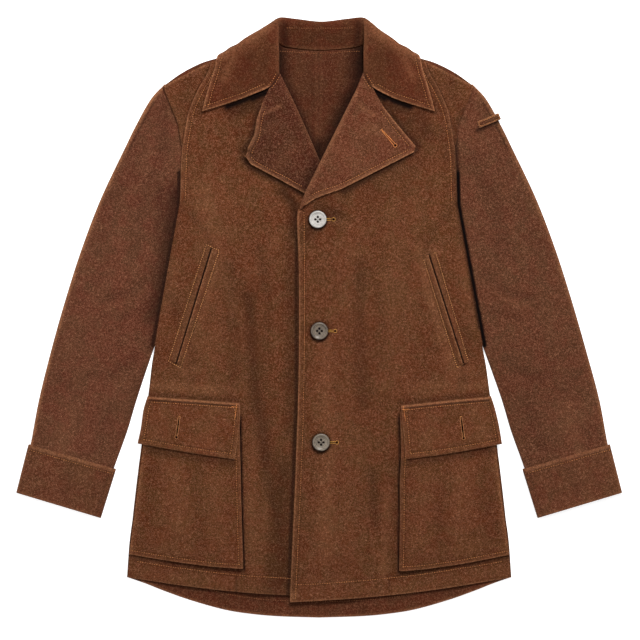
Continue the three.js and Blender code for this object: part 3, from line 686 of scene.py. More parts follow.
# Where the nap is painted paler, mostly by the chest pockets and above the flaps: a line, how wide, how
# much.
PALER_PLACES = {
    LEFT: [
        ([[143, 96], [158, 30], [188, -66]], 8, 0.15),
        ([[190, -84], [214, -76]], 9, 0.12),
        ([[130, -101], [235, -95]], 9, 0.12),
        ([[200, 150], [206, 60], [220, -10]], 9, 0.09),
        ([[-20, -376], [40, -374]], 9, 0.1),
        ([[-33, -392], [-34, -400]], 6, 0.26),
    ],
    RIGHT: [
        ([[-139, 92], [-158, 20], [-186, -60]], 6, 0.1),
        ([[-200, -50], [-172, 36]], 9, 0.12),
        ([[-120, -102], [-235, -97]], 9, 0.16),
        ([[-168, 150], [-150, 108], [-132, 60], [-118, 4]], 9, 0.09),
        ([[-197, 226], [-196, 180]], 9, 0.12),
        ([[-204, 72], [-214, 20]], 9, 0.1),
        ([[-88, -150], [-92, -200]], 12, 0.1),
        ([[-176, -74], [-190, -78]], 8, 0.2),
        ([[-230, -344], [-268, -336]], 9, 0.14),
    ],
}
BUTTON_PLACES = [[-1, 139.2], [1.3, -19.2], [3.7, -177.2]]
# The chest pockets' slits, and the stitched boxes round them.
CHEST_SLITS = {
    LEFT: [[156.5, 88.9], [204.8, -66]],
    RIGHT: [[151.7, 97.1], [201.2, -64.6]],
}
CHEST_BOXES = {
    LEFT: [[149, 83.5], [166.5, 92.2], [211.6, -61.6], [195.8, -71.4]],
    RIGHT: [[140.7, 95], [159.2, 103.2], [212.7, -61.8], [195.8, -71.4]],
}
# Painted shadows below the collar's and lapels' edges, beside the pockets and flaps, along the front edge
# and by the side: a line, how wide, how dark.
EDGE_SHADOWS = {
    LEFT: [
        ([[139, 238], [108, 218], [70, 198], [36, 179]], 6.5, 0.65),
        ([[146, 228], [108, 204], [76, 186]], 20, 0.16),
        ([[120, 272], [144, 288], [152, 262]], 14, 0.36),
        ([[66, 312], [84, 300]], 9, 0.34),
        ([[72, 318], [94, 300], [126, 260], [141, 244]], 7, 0.6),
        ([[126, 276], [143, 252], [126, 230]], 11, 0.3),
        ([[160, 344], [184, 292], [192, 230]], 17, 0.24),
        ([[193, 280], [195, 240], [197, 190], [200, 150], [206, 104]], 6, 0.42),
        ([[24, 146], [4, 150], [-18, 118]], 12, 0.42),
        ([[114, -140], [115.8, -199], [114.4, -228], [114.2, -288], [113.2, -360]], 2.3, 0.9),
        ([[111, -200], [110, -288], [109, -352]], 10, 0.16),
        ([[112, -363], [141.6, -361.5], [201.4, -353], [268, -340]], 3.4, 0.45),
        ([[115, -121], [180, -114], [243, -108]], 2.6, 0.3),
    ],
    RIGHT: [
        ([[-107, 226], [-97, 213], [-57, 193], [-15, 170]], 4.6, 0.65),
        ([[-50, 180], [-34, 160], [-35, 118]], 9, 0.55),
        ([[-118, 288], [-108, 258]], 9, 0.2),
        ([[-66, 320], [-83, 300], [-94, 256], [-106, 236]], 6.5, 0.6),
        ([[-31, 150], [-31.5, 60], [-31.5, -110], [-36, -230], [-42, -369], [-44, -404]], 4.5, 0.75),
        ([[-36, 150], [-38, 60], [-38, -60], [-40, -160]], 11, 0.3),
        ([[-50, -215], [-54, -300], [-58, -395]], 22, 0.36),
        ([[-111.2, -140], [-107.9, -288], [-105.8, -357]], 2.3, 1.0),
        ([[-105, -359], [-148, -357], [-216, -348], [-268, -339]], 3.4, 0.45),
        ([[-112, -117.5], [-180, -112.5], [-242, -108]], 2.6, 0.3),
    ],
}
# Painted shade beside the sleeve's head, a painted shadow round each button, and painted shadow where the
# collar's edge lies.
SIDE_SHADOW = [[195.6, 240], [196.8, 207], [197.6, 165], [216, 62], [229, -14]]
BUTTON_SHADE = {"radius": 12.6, "below": 0.6, "turns": np.arange(14) / 2}
COLLAR_SHADES = [
    mark([[66, 324], [76, 324], [105, 308], [130, 299]], 6.5, creased=1.0),
    mark([[68, 320], [80, 317], [94, 310]], 7, creased=1.0),
    mark([[66, 314], [90, 306], [122, 294]], 14, creased=0.5),
    mark([[167, 290], [161, 312], [157, 330]], 3, creased=0.3),
]
# The facing's inner edge, pressed through the hem, with painted shade along it.
FACING_EDGE = {LEFT: [[100, -364], [100.5, -389]], RIGHT: [[-117, -364], [-116.5, -389]]}
front_suede = suede("suede fronts", (91, 58, 34), (98, 50, 30))


def turned_edge(path, inwards=2.6, rubbed=0.5, rim=1.1):
    """A turned edge: rubbed at the rim, and full between the rim and the stitching, with a faint painted
    highlight on the fullness.
    """
    return [
        mark(path, 2.2, off=inwards, high=0.6, wear_and_highlight=0.1 * rubbed),
        mark(path, rim, high=-0.3, wear_and_highlight=rubbed),
    ]


def from_side(x, y):
    """How far inside the side edge a place lies."""
    return np.interp(y, SIDE_Y, SIDE_OUT) - np.abs(x)


def under_front(x, y):
    """The height of the middle of the front that lies below, and of the outer half of the other one."""
    sleeve = SLEEVE_STEP["high"] * ease(1 - from_side(x, y) / SLEEVE_STEP["wide"])
    sleeve *= ease((y - SLEEVE_STEP["above"]) / SLEEVE_STEP["fade"])
    full = FRONT_FULL["high"] * ease(from_side(x, y) / FRONT_FULL["fade"])
    ridges = sum(one["high"] * nearness(x, y, one["path"], one["wide"]) for one in FOLDS + CREASES)
    collar_edge = BELOW_COLLAR["y"] - BELOW_COLLAR["slope"] * (np.abs(x) - BELOW_COLLAR["out"])
    below_collar = ease((collar_edge - y) / BELOW_COLLAR["fade"])
    level = FRONT_MID + neck_rise(x, y, BELOW_COLLAR["before"]) + sleeve
    return level + below_collar * (full + ridges + rumple(x, y))


def over_front(x, y):
    """The height of the left front, where it laps over the right one."""
    lapel = OVER_LAPEL["high"] * ease((y - OVER_LAPEL["above"]) / OVER_LAPEL["fade"])
    lapel *= ease((OVER_LAPEL["inside"] - x) / OVER_LAPEL["side_fade"])
    lapel *= ease((BELOW_NECK["y"] - y) / BELOW_NECK["fade"])
    lap = OVERLAP["high"] * ease((OVERLAP["inside"] - x) / OVERLAP["fade"])
    return under_front(x, y) + lap + lapel


def hem_bow(u):
    """How far the hem sags between its ends."""
    return HEM_BOW["by"] * np.sin(np.pi * np.minimum(u, 1))


FRONT_HEIGHT = {LEFT: over_front, RIGHT: under_front}
front_pieces = {}

for side, word in ((LEFT, "left"), (RIGHT, "right")):
    front_inner = FRONT_INNER[side]
    front_outer = on_side(side, FRONT_OUTER)
    hem_ends = np.array([front_inner[-1], front_outer[-1]])
    hem_run = hem_ends[1] - hem_ends[0]
    front_hem = [[*(hem_ends[0] + hem_run * u - [0, hem_bow(u)])] for u in np.linspace(0, 1, 9)]
    armhole_line = inset(front_outer[:ARMHOLE_SECTIONS], -side * ARMHOLE_STITCH, start=4)
    hem_line = inset(front_hem, side * HEM_DEPTH, start=EDGE_STITCH + 1, end=9)
    edge_line = inset(front_inner[EDGE_START:], side * EDGE_STITCH, start=3, end=3)
    front_lines = [armhole_line, hem_line] + ([edge_line] if side == LEFT else [])
    # The folds' painted highlights and painted shade, without their height, and the grooves, edges, painted
    # shadows and paler places.
    front_marks = [{**one, "high": 0} for one in FOLDS + CREASES] + [stitched(line) for line in front_lines]
    front_marks += turned_edge(front_hem, inwards=3, rubbed=0.5, rim=1.4)
    front_marks += [mark(front_hem, 9, off=9, wear_and_highlight=0.06)]
    front_marks += turned_edge(front_outer[:ARMHOLE_SECTIONS], inwards=3.4)
    front_marks += turned_edge(along(front_inner[EDGE_START:], np.linspace(0, 1, 40))[:, :2], inwards=3)
    front_marks += [mark(FACING_EDGE[side], 1.8, high=-0.4, creased=0.35)]
    front_marks += marks_on_side(side, COLLAR_SHADES)
    front_marks += [mark(path, wide, creased=creased) for path, wide, creased in EDGE_SHADOWS[side]]
    front_marks += [mark(path, wide, wear_and_highlight=wear_and_highlight) for path, wide, wear_and_highlight in PALER_PLACES[side]]
    box = np.array(on_side(side, CHEST_BOXES[side]))
    front_marks += [stitched(box[[0, 1, 2, 3, 0]], high=-0.7)]
    front_marks += [mark(box[[1, 0, 3]], 3, off=4, wear_and_highlight=0.16)]
    # Painted shade in the chest pocket's slit.
    front_marks += [mark(on_side(side, CHEST_SLITS[side]), 2.4, creased=1.0)]
    if side == LEFT:
        # A painted shadow ring round each button.
        for x, y in BUTTON_PLACES:
            ring_x = x + BUTTON_SHADE["radius"] * np.cos(BUTTON_SHADE["turns"])
            ring_y = y + BUTTON_SHADE["radius"] * np.sin(BUTTON_SHADE["turns"]) - BUTTON_SHADE["below"]
            front_marks += [mark(np.column_stack([ring_x, ring_y]), 2.8, creased=0.85)]
        # Painted shade where the front's side edge lies over the sleeve.
        front_marks += [mark(SIDE_SHADOW, 3.4, creased=0.9)]

    def place_front(u, v):
        sections = np.linspace(0, 1, len(FRONT_OUTER))
        t = np.interp(v * sum(FRONT_STEPS), np.cumsum([0, *FRONT_STEPS]), sections)
        first = along(front_inner, t, even=False)
        last = along(front_outer, t, even=False)
        xyz = first + (last - first) * u[:, None]
        xyz[:, 1] -= hem_bow(u) * ease((v - HEM_BOW["from"]) / (1 - HEM_BOW["from"]))
        xyz[:, 2] = FRONT_HEIGHT[side](xyz[:, 0], xyz[:, 1])
        return press(xyz, front_marks)

    front_panel = cloth(f"front_{word}", place_front, across=112, down=300, material=front_suede)
    front_pieces[side] = front_panel
    front_stitches = topstitch(f"front_{word}_stitches", front_panel, front_lines)


# ---- Shoulder gussets ----
# A narrow pointed piece of suede let in between the front and the sleeve at each shoulder. Its outer edge
# is turned, and its inner edge is sewn along the front's armhole edge.

YOKE_OUTER = [[220.8, 328.7], [213.8, 311.5], [207.5, 295.5], [199.3, 275], [194.6, 245]]
YOKE_INNER = [[151.6, 363.8], [158.8, 345.2], [170.5, 325.2], [184.3, 293.2], [193.2, 246]]
YOKE_FULL = 0.4

for side, word in ((LEFT, "left"), (RIGHT, "right")):
    yoke_inner = on_side(side, YOKE_INNER)
    yoke_outer = on_side(side, YOKE_OUTER)
    yoke_marks = turned_edge(yoke_outer, inwards=2.4, rubbed=0.12)
    # Painted shade along the sewn inner edge and a soft crease, and on the left beside the outer edge; the
    # top corner is rubbed.
    if side == LEFT:
        yoke_marks += [mark(yoke_outer[2:], 9, creased=0.36)]
    yoke_marks += [
        mark(yoke_inner, 2.4, high=-0.5, creased=0.35),
        mark([yoke_inner[0], yoke_outer[0]], 3, wear_and_highlight=0.35),
        mark(on_side(side, [[186, 340], [196, 300]]), 12, high=-0.5, creased=0.16),
    ]

    def place_yoke(u, v):
        first = along(yoke_inner, v, even=False)
        last = along(yoke_outer, v, even=False)
        xyz = first + (last - first) * u[:, None]
        xyz[:, 2] = FRONT_HEIGHT[side](xyz[:, 0], xyz[:, 1]) + YOKE_FULL * np.sin(np.pi * u)
        return press(xyz, yoke_marks)

    yoke = cloth(f"yoke_{word}", place_yoke, across=24, down=52, material=front_suede)


# ---- Sleeves ----
# Each sleeve is a tube of suede that lies pressed flat beside the body, with its upper edge tucked under
# the front and a seam along its inner side. It has a few soft creases at the elbow, with painted shade in
# them.

SLEEVE_WALL = 1.8
SLEEVE_EDGE = 1.5
SLEEVE_FULL = {"high": 2.6, "by": 0.3, "pressed": 0.62, "from": 0.7, "fade": 0.2}
SLEEVE_ENDS = {"head": 0.15, "cuff": 0.06}
SLEEVE_SQUARE = 1.25
INNER_SEAM = 7.6
OUTER_SEAM = 6
# The sleeve's end goes up over the wall of the cuff that is turned back round it.
CUFF_RISE = {"by": SUEDE + SEAM + 0.2, "from": 0.78, "fade": 0.08}
SLEEVE_OUTER = [
    [217.6, 330.9],
    [236, 311.4],
    [259, 271],
    [273.8, 240.7],
    [308.8, 166.8],
    [335.8, 95.8],
    [358.5, 24.8],
    [378.4, -46],
    [395.9, -117],
    [407.5, -179],
    [421.7, -238],
]
SLEEVE_INNER = [
    [189, 160],
    [195, 124.2],
    [210.8, 42.7],
    [221, 2],
    [229.8, -30],
    [237.5, -52],
    [259.2, -117.2],
    [271.9, -159.8],
    [291.2, -214],
    [309.3, -273],
]
SLEEVE_HEAD = [[217.6, 330.9], [204, 294.5], [196, 274.5], [190, 243], [190.5, 207], [189, 160]]
SLEEVE_END = [[421.7, -238], [309.3, -273]]
# Elbow and arm creases with painted shade in them, and ridges with a painted highlight.
SLEEVE_CREASES = [
    mark([[238, 60], [262, 34], [300, 28]], 7, high=-1.1, creased=0.2),
    mark([[246, 10], [286, -4]], 6, high=-0.9, creased=0.16),
    mark([[250, 36], [292, 12]], 7, high=0.8, wear_and_highlight=0.06),
    mark([[330, 40], [296, 66]], 8, high=-0.8, creased=0.12),
    mark([[262, -60], [300, -84], [330, -84]], 8, high=-0.9, creased=0.16),
    mark([[370, -80], [346, -110]], 8, high=-0.7, creased=0.1),
    mark([[222, 226], [250, 160], [262, 90]], 16, high=-1.2, creased=0.16),
    mark([[240, 284], [286, 170], [312, 90]], 15, high=-0.4, creased=0.13),
    mark([[290, -120], [318, -190]], 10, high=-0.8, creased=0.12),
    mark([[352, -130], [366, -196]], 12, high=0.7, wear_and_highlight=0.08),
]
# Painted shade on the sleeve where it goes under the front's edge and lies close beside the body.
BODY_SIDE = [[198, 207], [199.5, 160], [217.5, 62], [228.5, 2], [236, -40]]
BESIDE_BODY = {
    LEFT: [
        mark([[194, 262], [196, 240], [198, 200]], 3, creased=0.7),
        mark(BODY_SIDE, 3, creased=1.0, power=6),
        mark([[244, 290], [292, 170]], 16, creased=0.06),
    ],
    RIGHT: [
        mark(BODY_SIDE, 3, creased=0.8, power=6),
        mark(BODY_SIDE[2:], 9, creased=0.4),
        mark([[201, 176], *BODY_SIDE[2:4]], 18, creased=0.66),
        mark([[222, 180], [225, 95]], 12, creased=0.34),
        mark([[221, 304], [219, 240]], 12, creased=0.24),
        mark([[246, -70], [268, -138]], 6, creased=0.2),
    ],
}
SLEEVE_RUBBED = {LEFT: 0.3, RIGHT: 0.55}
# A painted shadow on the sleeve below the tab.
TAB_SHADE = mark([[226, 266], [258, 279]], 4, creased=0.75)
sleeve_suedes = {
    LEFT: suede("suede left sleeve", (92, 60, 41), (98, 53, 38)),
    RIGHT: suede("suede right sleeve", (98, 63, 44), (104, 55, 41)),
}


def tube_level(u, square):
    """Round a flattened tube, as u goes from 0 to 1: how far across it, and from -1 below to 1 above."""
    sine = np.sin(2 * np.pi * u)
    level = np.clip(square * np.sign(sine) * np.sqrt(np.abs(sine)), -1, 1)
    return (1 - np.cos(2 * np.pi * u)) / 2, level


for side, word in ((LEFT, "left"), (RIGHT, "right")):
    outlines = (SLEEVE_OUTER, SLEEVE_INNER, SLEEVE_HEAD, SLEEVE_END)
    sleeve_edges = [on_side(side, places) for places in outlines]
    inner_seam = inset(sleeve_edges[1][2:], -side * INNER_SEAM)
    outer_seam = inset(sleeve_edges[0][:4], -side * OUTER_SEAM, start=30)
    sleeve_marks = marks_on_side(side, SLEEVE_CREASES + BESIDE_BODY[side])
    if side == LEFT:
        sleeve_marks += [TAB_SHADE]
    # Painted shade in the seams' grooves, a painted highlight on the ridge beside the inner seam, and the
    # outer edge rubbed.
    sleeve_marks += [
        mark(inner_seam, 1.8, high=-0.6, creased=0.3),
        mark(inner_seam, 2.0, off=3.6, high=0.3, wear_and_highlight=0.12),
        mark(outer_seam, 1.8, high=-0.8, creased=0.5),
        mark(sleeve_edges[0], 3, wear_and_highlight=SLEEVE_RUBBED[side]),
    ]

    def place_sleeve(u, v):
        across, level = tube_level(u, SLEEVE_SQUARE)
        xyz = stretched(*sleeve_edges, across, v)
        pressed = SLEEVE_FULL["pressed"] * ease((v - SLEEVE_FULL["from"]) / SLEEVE_FULL["fade"])
        full = SLEEVE_FULL["high"] * np.sin(np.pi * across) * ease(v / SLEEVE_FULL["by"]) * (1 - pressed)
        bottom = SLEEVE_WALL / 2 + CUFF_RISE["by"] * ease((v - CUFF_RISE["from"]) / CUFF_RISE["fade"])
        xyz[:, 2] = bottom + (SLEEVE_EDGE + full) * (1 + level)
        upper = ease(level) * ease((1 - v) / SLEEVE_ENDS["cuff"])
        flat, wear_and_highlight, creased = press(xyz.copy(), sleeve_marks)
        lift = flat[:, 2] - xyz[:, 2] + rumple(xyz[:, 0], xyz[:, 1]) * ease(v / SLEEVE_ENDS["head"])
        xyz[:, 2] += upper * lift
        return xyz, wear_and_highlight, creased

    sleeve = cloth(
        f"sleeve_{word}",
        place_sleeve,
        across=110,
        down=220,
        material=sleeve_suedes[side],
        wall=SLEEVE_WALL,
        closed=True,
    )


# ---- Cuffs ----
# A band of suede turned back round the end of each sleeve, closed by a seam near its inner side. Its full
# upper edge is topstitched.

CUFF_HALF = 4.4
CUFF_SQUARE = 1.62
CUFF_STITCH = 7.8
CUFF_SEAM = 7
CUFF_RUMPLE = 0.6
CUFF_TOP = [[410.7, -180], [288.1, -214.8]]
CUFF_FOOT = [[428.1, -248.9], [309.8, -284.4]]
cuff_suede = suede("suede cuffs", (98, 63, 42), (104, 55, 39))

for side, word in ((LEFT, "left"), (RIGHT, "right")):
    cuff_top, cuff_foot = on_side(side, CUFF_TOP), on_side(side, CUFF_FOOT)
    cuff_outer, cuff_inner = [cuff_top[0], cuff_foot[0]], [cuff_top[1], cuff_foot[1]]
    cuff_line = inset(cuff_top, side * CUFF_STITCH, start=1, end=1)
    cuff_seam = inset(cuff_inner, side * CUFF_SEAM, start=8)
    # Painted shade in the seam and a soft crease; the cuff's upper ridge, foot and outer end are rubbed.
    cuff_marks = [
        stitched(cuff_line),
        mark(cuff_top, 2.4, off=3.0, high=0.7, wear_and_highlight=0.35),
        mark(cuff_foot, 2.4, high=-0.5, wear_and_highlight=0.4),
        mark(cuff_outer, 2.0, wear_and_highlight=0.3),
        mark(cuff_seam, 1.6, high=-0.45, creased=0.25),
        mark(on_side(side, [[352, -214], [362, -248]]), 10, high=-0.6, creased=0.1),
        mark(on_side(side, [[318, -240], [390, -220]]), 9, high=0.5),
    ]

    def place_cuff(u, v):
        across, level = tube_level(u, CUFF_SQUARE)
        xyz = stretched(cuff_outer, cuff_inner, cuff_top, cuff_foot, across, v)
        xyz[:, 2] = SUEDE / 2 + CUFF_HALF * (1 + level)
        flat, wear_and_highlight, creased = press(xyz.copy(), cuff_marks)
        xyz[:, 2] += ease(level) * (flat[:, 2] - xyz[:, 2] + CUFF_RUMPLE * rumple(xyz[:, 0], xyz[:, 1]))
        return xyz, wear_and_highlight, creased

    cuff = cloth(f"cuff_{word}", place_cuff, across=110, down=30, material=cuff_suede, closed=True)
    cuff_stitches = topstitch(f"cuff_{word}_stitches", cuff, [cuff_line])


# ---- Sleeve tab ----
# A short strap of doubled suede that lies across the left sleeve below its head, with one end bent down to
# the sleeve. It is stitched all round in small stitches.

TAB = {"long": 33, "wide": 9.5, "wall": 2.4, "x": 242, "y": 279.5, "z": 6.9, "turn": 0.39, "bend": 0.9}
TAB_STITCH = 1.9
TAB_BEND_FROM = 0.55


def on_tab(places):
    """Places along and across the tab, turned and moved to where it is sewn on."""
    cos, sin = math.cos(TAB["turn"]), math.sin(TAB["turn"])
    return np.array([[TAB["x"] + a * cos - b * sin, TAB["y"] + a * sin + b * cos] for a, b in places])


tab_corners = [[a * TAB["long"] / 2, b * TAB["wide"] / 2] for a, b in ((-1, -1), (1, -1), (1, 1), (-1, 1))]
tab_run = [[a * (1 - TAB_STITCH / abs(a)), b * (1 - TAB_STITCH / abs(b))] for a, b in tab_corners]
tab_rim = on_tab([*tab_corners, tab_corners[0]])
tab_line = on_tab([*tab_run, tab_run[0]])
tab_marks = [mark(tab_rim, 1.1, wear_and_highlight=0.9), stitched(tab_line, wide=2.4, creased=0.4)]


def place_tab(u, v):
    flat = on_tab(zip((u - 0.5) * TAB["long"], (v - 0.5) * TAB["wide"]))
    bend = TAB["bend"] * ease((u - TAB_BEND_FROM) / (1 - TAB_BEND_FROM))
    xyz = np.column_stack([flat, TAB["z"] - bend])
    return press(xyz, tab_marks)


tab = cloth("sleeve_tab", place_tab, across=48, down=16, material=sleeve_suedes[LEFT], wall=TAB["wall"])
tab_stitches = topstitch("sleeve_tab_stitches", tab, [tab_line], pitch=2.6, long=2.0)


# ---- Collar ----
# One piece of suede that stands up round the neck, rolls over and falls outwards: over the fronts at the
# sides and below the back panels at the back. Its free edge is turned and topstitched.

# Sections from the collar's front edge round to the middle of the back. Each goes from the neck seam up the
# stand, over the roll and down the fall to its free edge: out, y and height.
COLLAR = [
    [
        [64.8, 346.5, 6.2], [61, 348.5, 8.7], [66.5, 336, 11.2], [73, 327.5, 10],
        [105, 312.5, 9.2], [136, 301.8, 8.6], [165, 293, 8.2],
    ],
    [
        [66.4, 356, 6.3], [61, 359.5, 13], [67.3, 352, 13.4], [80, 343, 10.3],
        [109.5, 328, 9.6], [136, 317, 9.5], [161, 307.5, 9.2],
    ],
    [
        [67.5, 366, 6.2], [61, 372, 16], [68, 369, 14.4], [86, 360, 10.2],
        [113, 346, 9.6], [136, 334, 9.5], [156.8, 322.5, 9.4],
    ],
    [
        [69.5, 381, 6.2], [61.5, 389, 17.5], [69.5, 386, 15.2], [86, 380, 10.6],
        [113, 366.5, 9.6], [132, 357.5, 9.5], [148.2, 350, 9.3],
    ],
    [
        [70, 388, 6.2], [61.5, 397, 17.4], [70, 395, 15], [86, 389.5, 10.7],
        [113.5, 377.5, 9.7], [131.5, 370, 9.7], [144.2, 367.6, 9.3],
    ],
    [
        [70, 391, 6.2], [61.5, 401, 17.2], [70, 399, 14.8], [86, 393.5, 10.8],
        [114, 382, 9.6], [131, 374.3, 9], [141.9, 372, 5.4],
    ],
    [
        [70, 395.6, 6], [61.5, 405.5, 16.8], [70, 404, 14.4], [86, 398.5, 10.6],
        [114, 386.8, 8], [127, 381.4, 3.2], [131.6, 375.6, 1.32],
    ],
    [
        [69.8, 398.8, 5.8], [61.5, 409.5, 16], [69, 408.5, 13.6], [85, 403, 10.2],
        [111, 390.2, 5.4], [115, 383.5, 1.6], [130, 366, 1.35],
    ],
    [
        [66.5, 399, 5.2], [61.5, 417, 14.5], [67.5, 416.5, 12], [76, 412.3, 8.8],
        [87, 406, 4.8], [92, 398.5, 1.6], [118, 360, 1.35],
    ],
    [
        [61.5, 392.5, 4.6], [61, 421.5, 12.5], [64.5, 421.5, 10], [69, 419, 7],
        [74, 414.5, 3.6], [77, 407, 1.5], [92, 347, 1.35],
    ],
    [
        [54.5, 386.2, 4.3], [57.5, 422.5, 10], [58.5, 424.6, 7], [59.5, 424.2, 4.4],
        [60, 421, 2.2], [61, 412, 1.4], [68, 339, 1.35],
    ],
    [
        [36, 382.6, 4.2], [37, 420.5, 8.6], [37, 422.8, 6.2], [37, 422.3, 3.6],
        [37, 419, 1.7], [37, 410, 1.35], [38, 336, 1.35],
    ],
    [
        [0, 380, 4.2], [0, 416.5, 8.6], [0, 418.8, 6.2], [0, 418.3, 3.6],
        [0, 415, 1.7], [0, 406, 1.35], [0, 334.5, 1.35],
    ],
]
COLLAR_FLOOR = COLLAR_WALL / 2 + 0.02
# How many sections have a free edge that isn't tucked below the back, and how many a rubbed roll.
OPEN_SECTIONS = 6
ROLL_SECTIONS = 9
COLLAR_STITCH = 6.4
GORGE_STITCH = {"collar": 2.6, "lapel": 2.4}
STAND_LINE = {"start": -46, "step": 4.1, "count": 24, "y": 411, "sag": 0.5}
# The fall starts past the roll, and is free where it lies high. Its marks are full there, and half as
# deep on the stand, whose inside gets painted shade.
FALL = {"from": 0.5, "fade": 0.2, "above": 6, "rise": 3, "rumple": 0.8, "rumple_shift": 300}
STAND_MARKS = {"upto": 0.4, "depth": 0.5}
STAND_SHADE = {"upto": 0.2, "fade": 0.1, "dark": 0.2}
collar_suede = suede("suede collar", (84, 50, 31), (92, 42, 27), (140, 94, 68))


def lofted(sections, u, v, straight=False):
    """Places on the smooth surface through some sections. Its plan is straight between them if asked."""
    across, u_index = np.unique(np.round(u, 6), return_inverse=True)
    down, v_index = np.unique(np.round(v, 6), return_inverse=True)
    lines = np.array([along(section, across, even=False) for section in sections])
    surface = np.array([along(lines[:, k], down, even=False) for k in range(len(across))])
    if straight:
        last = len(sections) - 1
        for k in range(len(across)):
            for axis in (0, 1):
                surface[k, :, axis] = np.interp(down * last, np.arange(last + 1), lines[:, k, axis])
    return surface[u_index, v_index]


collar_halves = {side: [on_side(side, section) for section in COLLAR] for side in (LEFT, RIGHT)}
collar_sections = collar_halves[RIGHT] + collar_halves[LEFT][-2::-1]
stand_k = np.arange(STAND_LINE["count"])
stand_x = STAND_LINE["start"] + STAND_LINE["step"] * stand_k
stand_y = STAND_LINE["y"] - STAND_LINE["sag"] * np.sin(stand_k / (STAND_LINE["count"] - 1) * math.pi)
stand_line = np.column_stack([stand_x, stand_y])
collar_lines = []
collar_marks = [stitched(stand_line), mark([[-62, 383.5], [0, 380.5], [68, 383.5]], 2, wear_and_highlight=0.25)]
for side in (LEFT, RIGHT):
    half = collar_halves[side]
    front_edge = [place[:2] for place in half[0][3:]]
    free_edge = [section[6][:2] for section in half[:OPEN_SECTIONS]]
    roll_edge = [section[1][:2] for section in half[:ROLL_SECTIONS]]
    sewn = [
        inset(front_edge, side * COLLAR_STITCH, start=4, end=COLLAR_STITCH),
        inset(free_edge, side * COLLAR_STITCH, start=COLLAR_STITCH, end=2),
        inset(half[0][1:4], side * GORGE_STITCH["collar"], start=3, end=1),
    ]
    collar_lines += sewn
    collar_marks += [stitched(line) for line in sewn]
    for edge_places in (front_edge, free_edge):
        rim_line = along(edge_places, np.linspace(0, 1, 12))[:, :2]
        collar_marks += turned_edge(rim_line, inwards=3, rubbed=0.75, rim=1.8)
    # Painted shade in the neck's corners and below the fall's folds, and a painted highlight on a fold of
    # the fall; the roll is rubbed.
    collar_marks += [
        mark(roll_edge, 3.4, wear_and_highlight=0.14),
        mark(on_side(side, [[66, 420], [92, 400], [114, 384], [142, 368]]), 9, wear_and_highlight=0.22),
        mark(on_side(side, [[53, 414], [50, 384]]), 9, creased=0.6),
        mark(on_side(side, [[100, 372], [104, 350]]), 13, creased=0.2),
        mark(on_side(side, [[98, 380], [112, 350], [118, 320]]), 12, high=0.7),
        mark(on_side(side, [[122, 368], [134, 340]]), 6, high=0.4, wear_and_highlight=0.14),
        mark(on_side(side, [[78, 372], [90, 336]]), 9, high=0.3, creased=0.14),
    ]


def place_collar(u, v):
    xyz = lofted(collar_sections, v, u)
    fall = ease((v - FALL["from"]) / FALL["fade"]) * ease((xyz[:, 2] - FALL["above"]) / FALL["rise"])
    xyz[:, 2] += fall * FALL["rumple"] * rumple(xyz[:, 0] + FALL["rumple_shift"], xyz[:, 1])
    flat, wear_and_highlight, creased = press(xyz.copy(), collar_marks)
    xyz[:, 2] += np.where(v > STAND_MARKS["upto"], fall, STAND_MARKS["depth"]) * (flat[:, 2] - xyz[:, 2])
    xyz[:, 2] = np.maximum(xyz[:, 2], COLLAR_FLOOR)
    # Painted shade on the inside of the stand.
    inside = ease((STAND_SHADE["upto"] - v) / STAND_SHADE["fade"]) * STAND_SHADE["dark"]
    return xyz, wear_and_highlight, np.maximum(creased, inside)


collar = cloth("collar", place_collar, across=264, down=72, material=collar_suede, wall=COLLAR_WALL)
collar_stitches = topstitch("collar_stitches", collar, collar_lines)
stand_stitches = topstitch("collar_stand_stitches", collar, [stand_line], dull_thread)


# ---- Lapels ----
# The fronts' revers, folded back along the roll line. They meet the collar's front edge in the gorge seam,
# and their free edges are turned and topstitched. The right one's upper edge curls up.

LAPEL_GAP = 0.9
LAPEL_STITCH = 6.4
# Each row is a place on the roll line, the place on the free edge across from it, how far that edge curls
# up, and how far it turns over. The upper edge ends and the lower one starts at the rows that are named.
LAPELS = {
    LEFT: {
        "inward": [0.89, -0.455],
        "upper_end": 3,
        "lower_start": 4,
        "roll_wide": 4.5,
        "roll_worn": 0.3,
        "rows": [
            [[52.5, 321.5], [92, 299], 0.4, 0],
            [[40.5, 297.5], [107.6, 278.5], 0.8, 0],
            [[26, 268.5], [124, 259], 1, 0],
            [[10.6, 237.8], [137.5, 243], 1, 0],
            [[3, 222.5], [135.5, 235], 0.8, 0],
            [[-4, 208], [109, 221.5], 0.4, 0],
            [[-11.5, 193], [70, 201.5], 0.3, 0],
            [[-19.2, 176.9], [31.5, 182], 0.2, 0],
            [[-24.2, 163], [-2, 171], 0, 0],
            [[-26.6, 155.4], [-18, 160.5], 0, 0],
        ],
    },
    RIGHT: {
        "inward": [-0.916, -0.4],
        "upper_end": 4,
        "lower_start": 4,
        "roll_wide": 3.4,
        "roll_worn": 0.16,
        "rows": [
            [[-44, 325], [-80, 304], 0.4, 0],
            [[-33, 302], [-86.5, 281], 2.5, 2],
            [[-23, 280], [-90.2, 258.2], 6, 4],
            [[-14, 259.5], [-99, 240.5], 5, 3],
            [[-7, 243.5], [-104.1, 229], 2, 0.5],
            [[-2, 231.5], [-95.3, 217.5], 0.8, 0],
            [[3, 220], [-57, 197.2], 0.2, 0],
            [[6.5, 212], [-15, 174], 0, 0],
        ],
    },
}
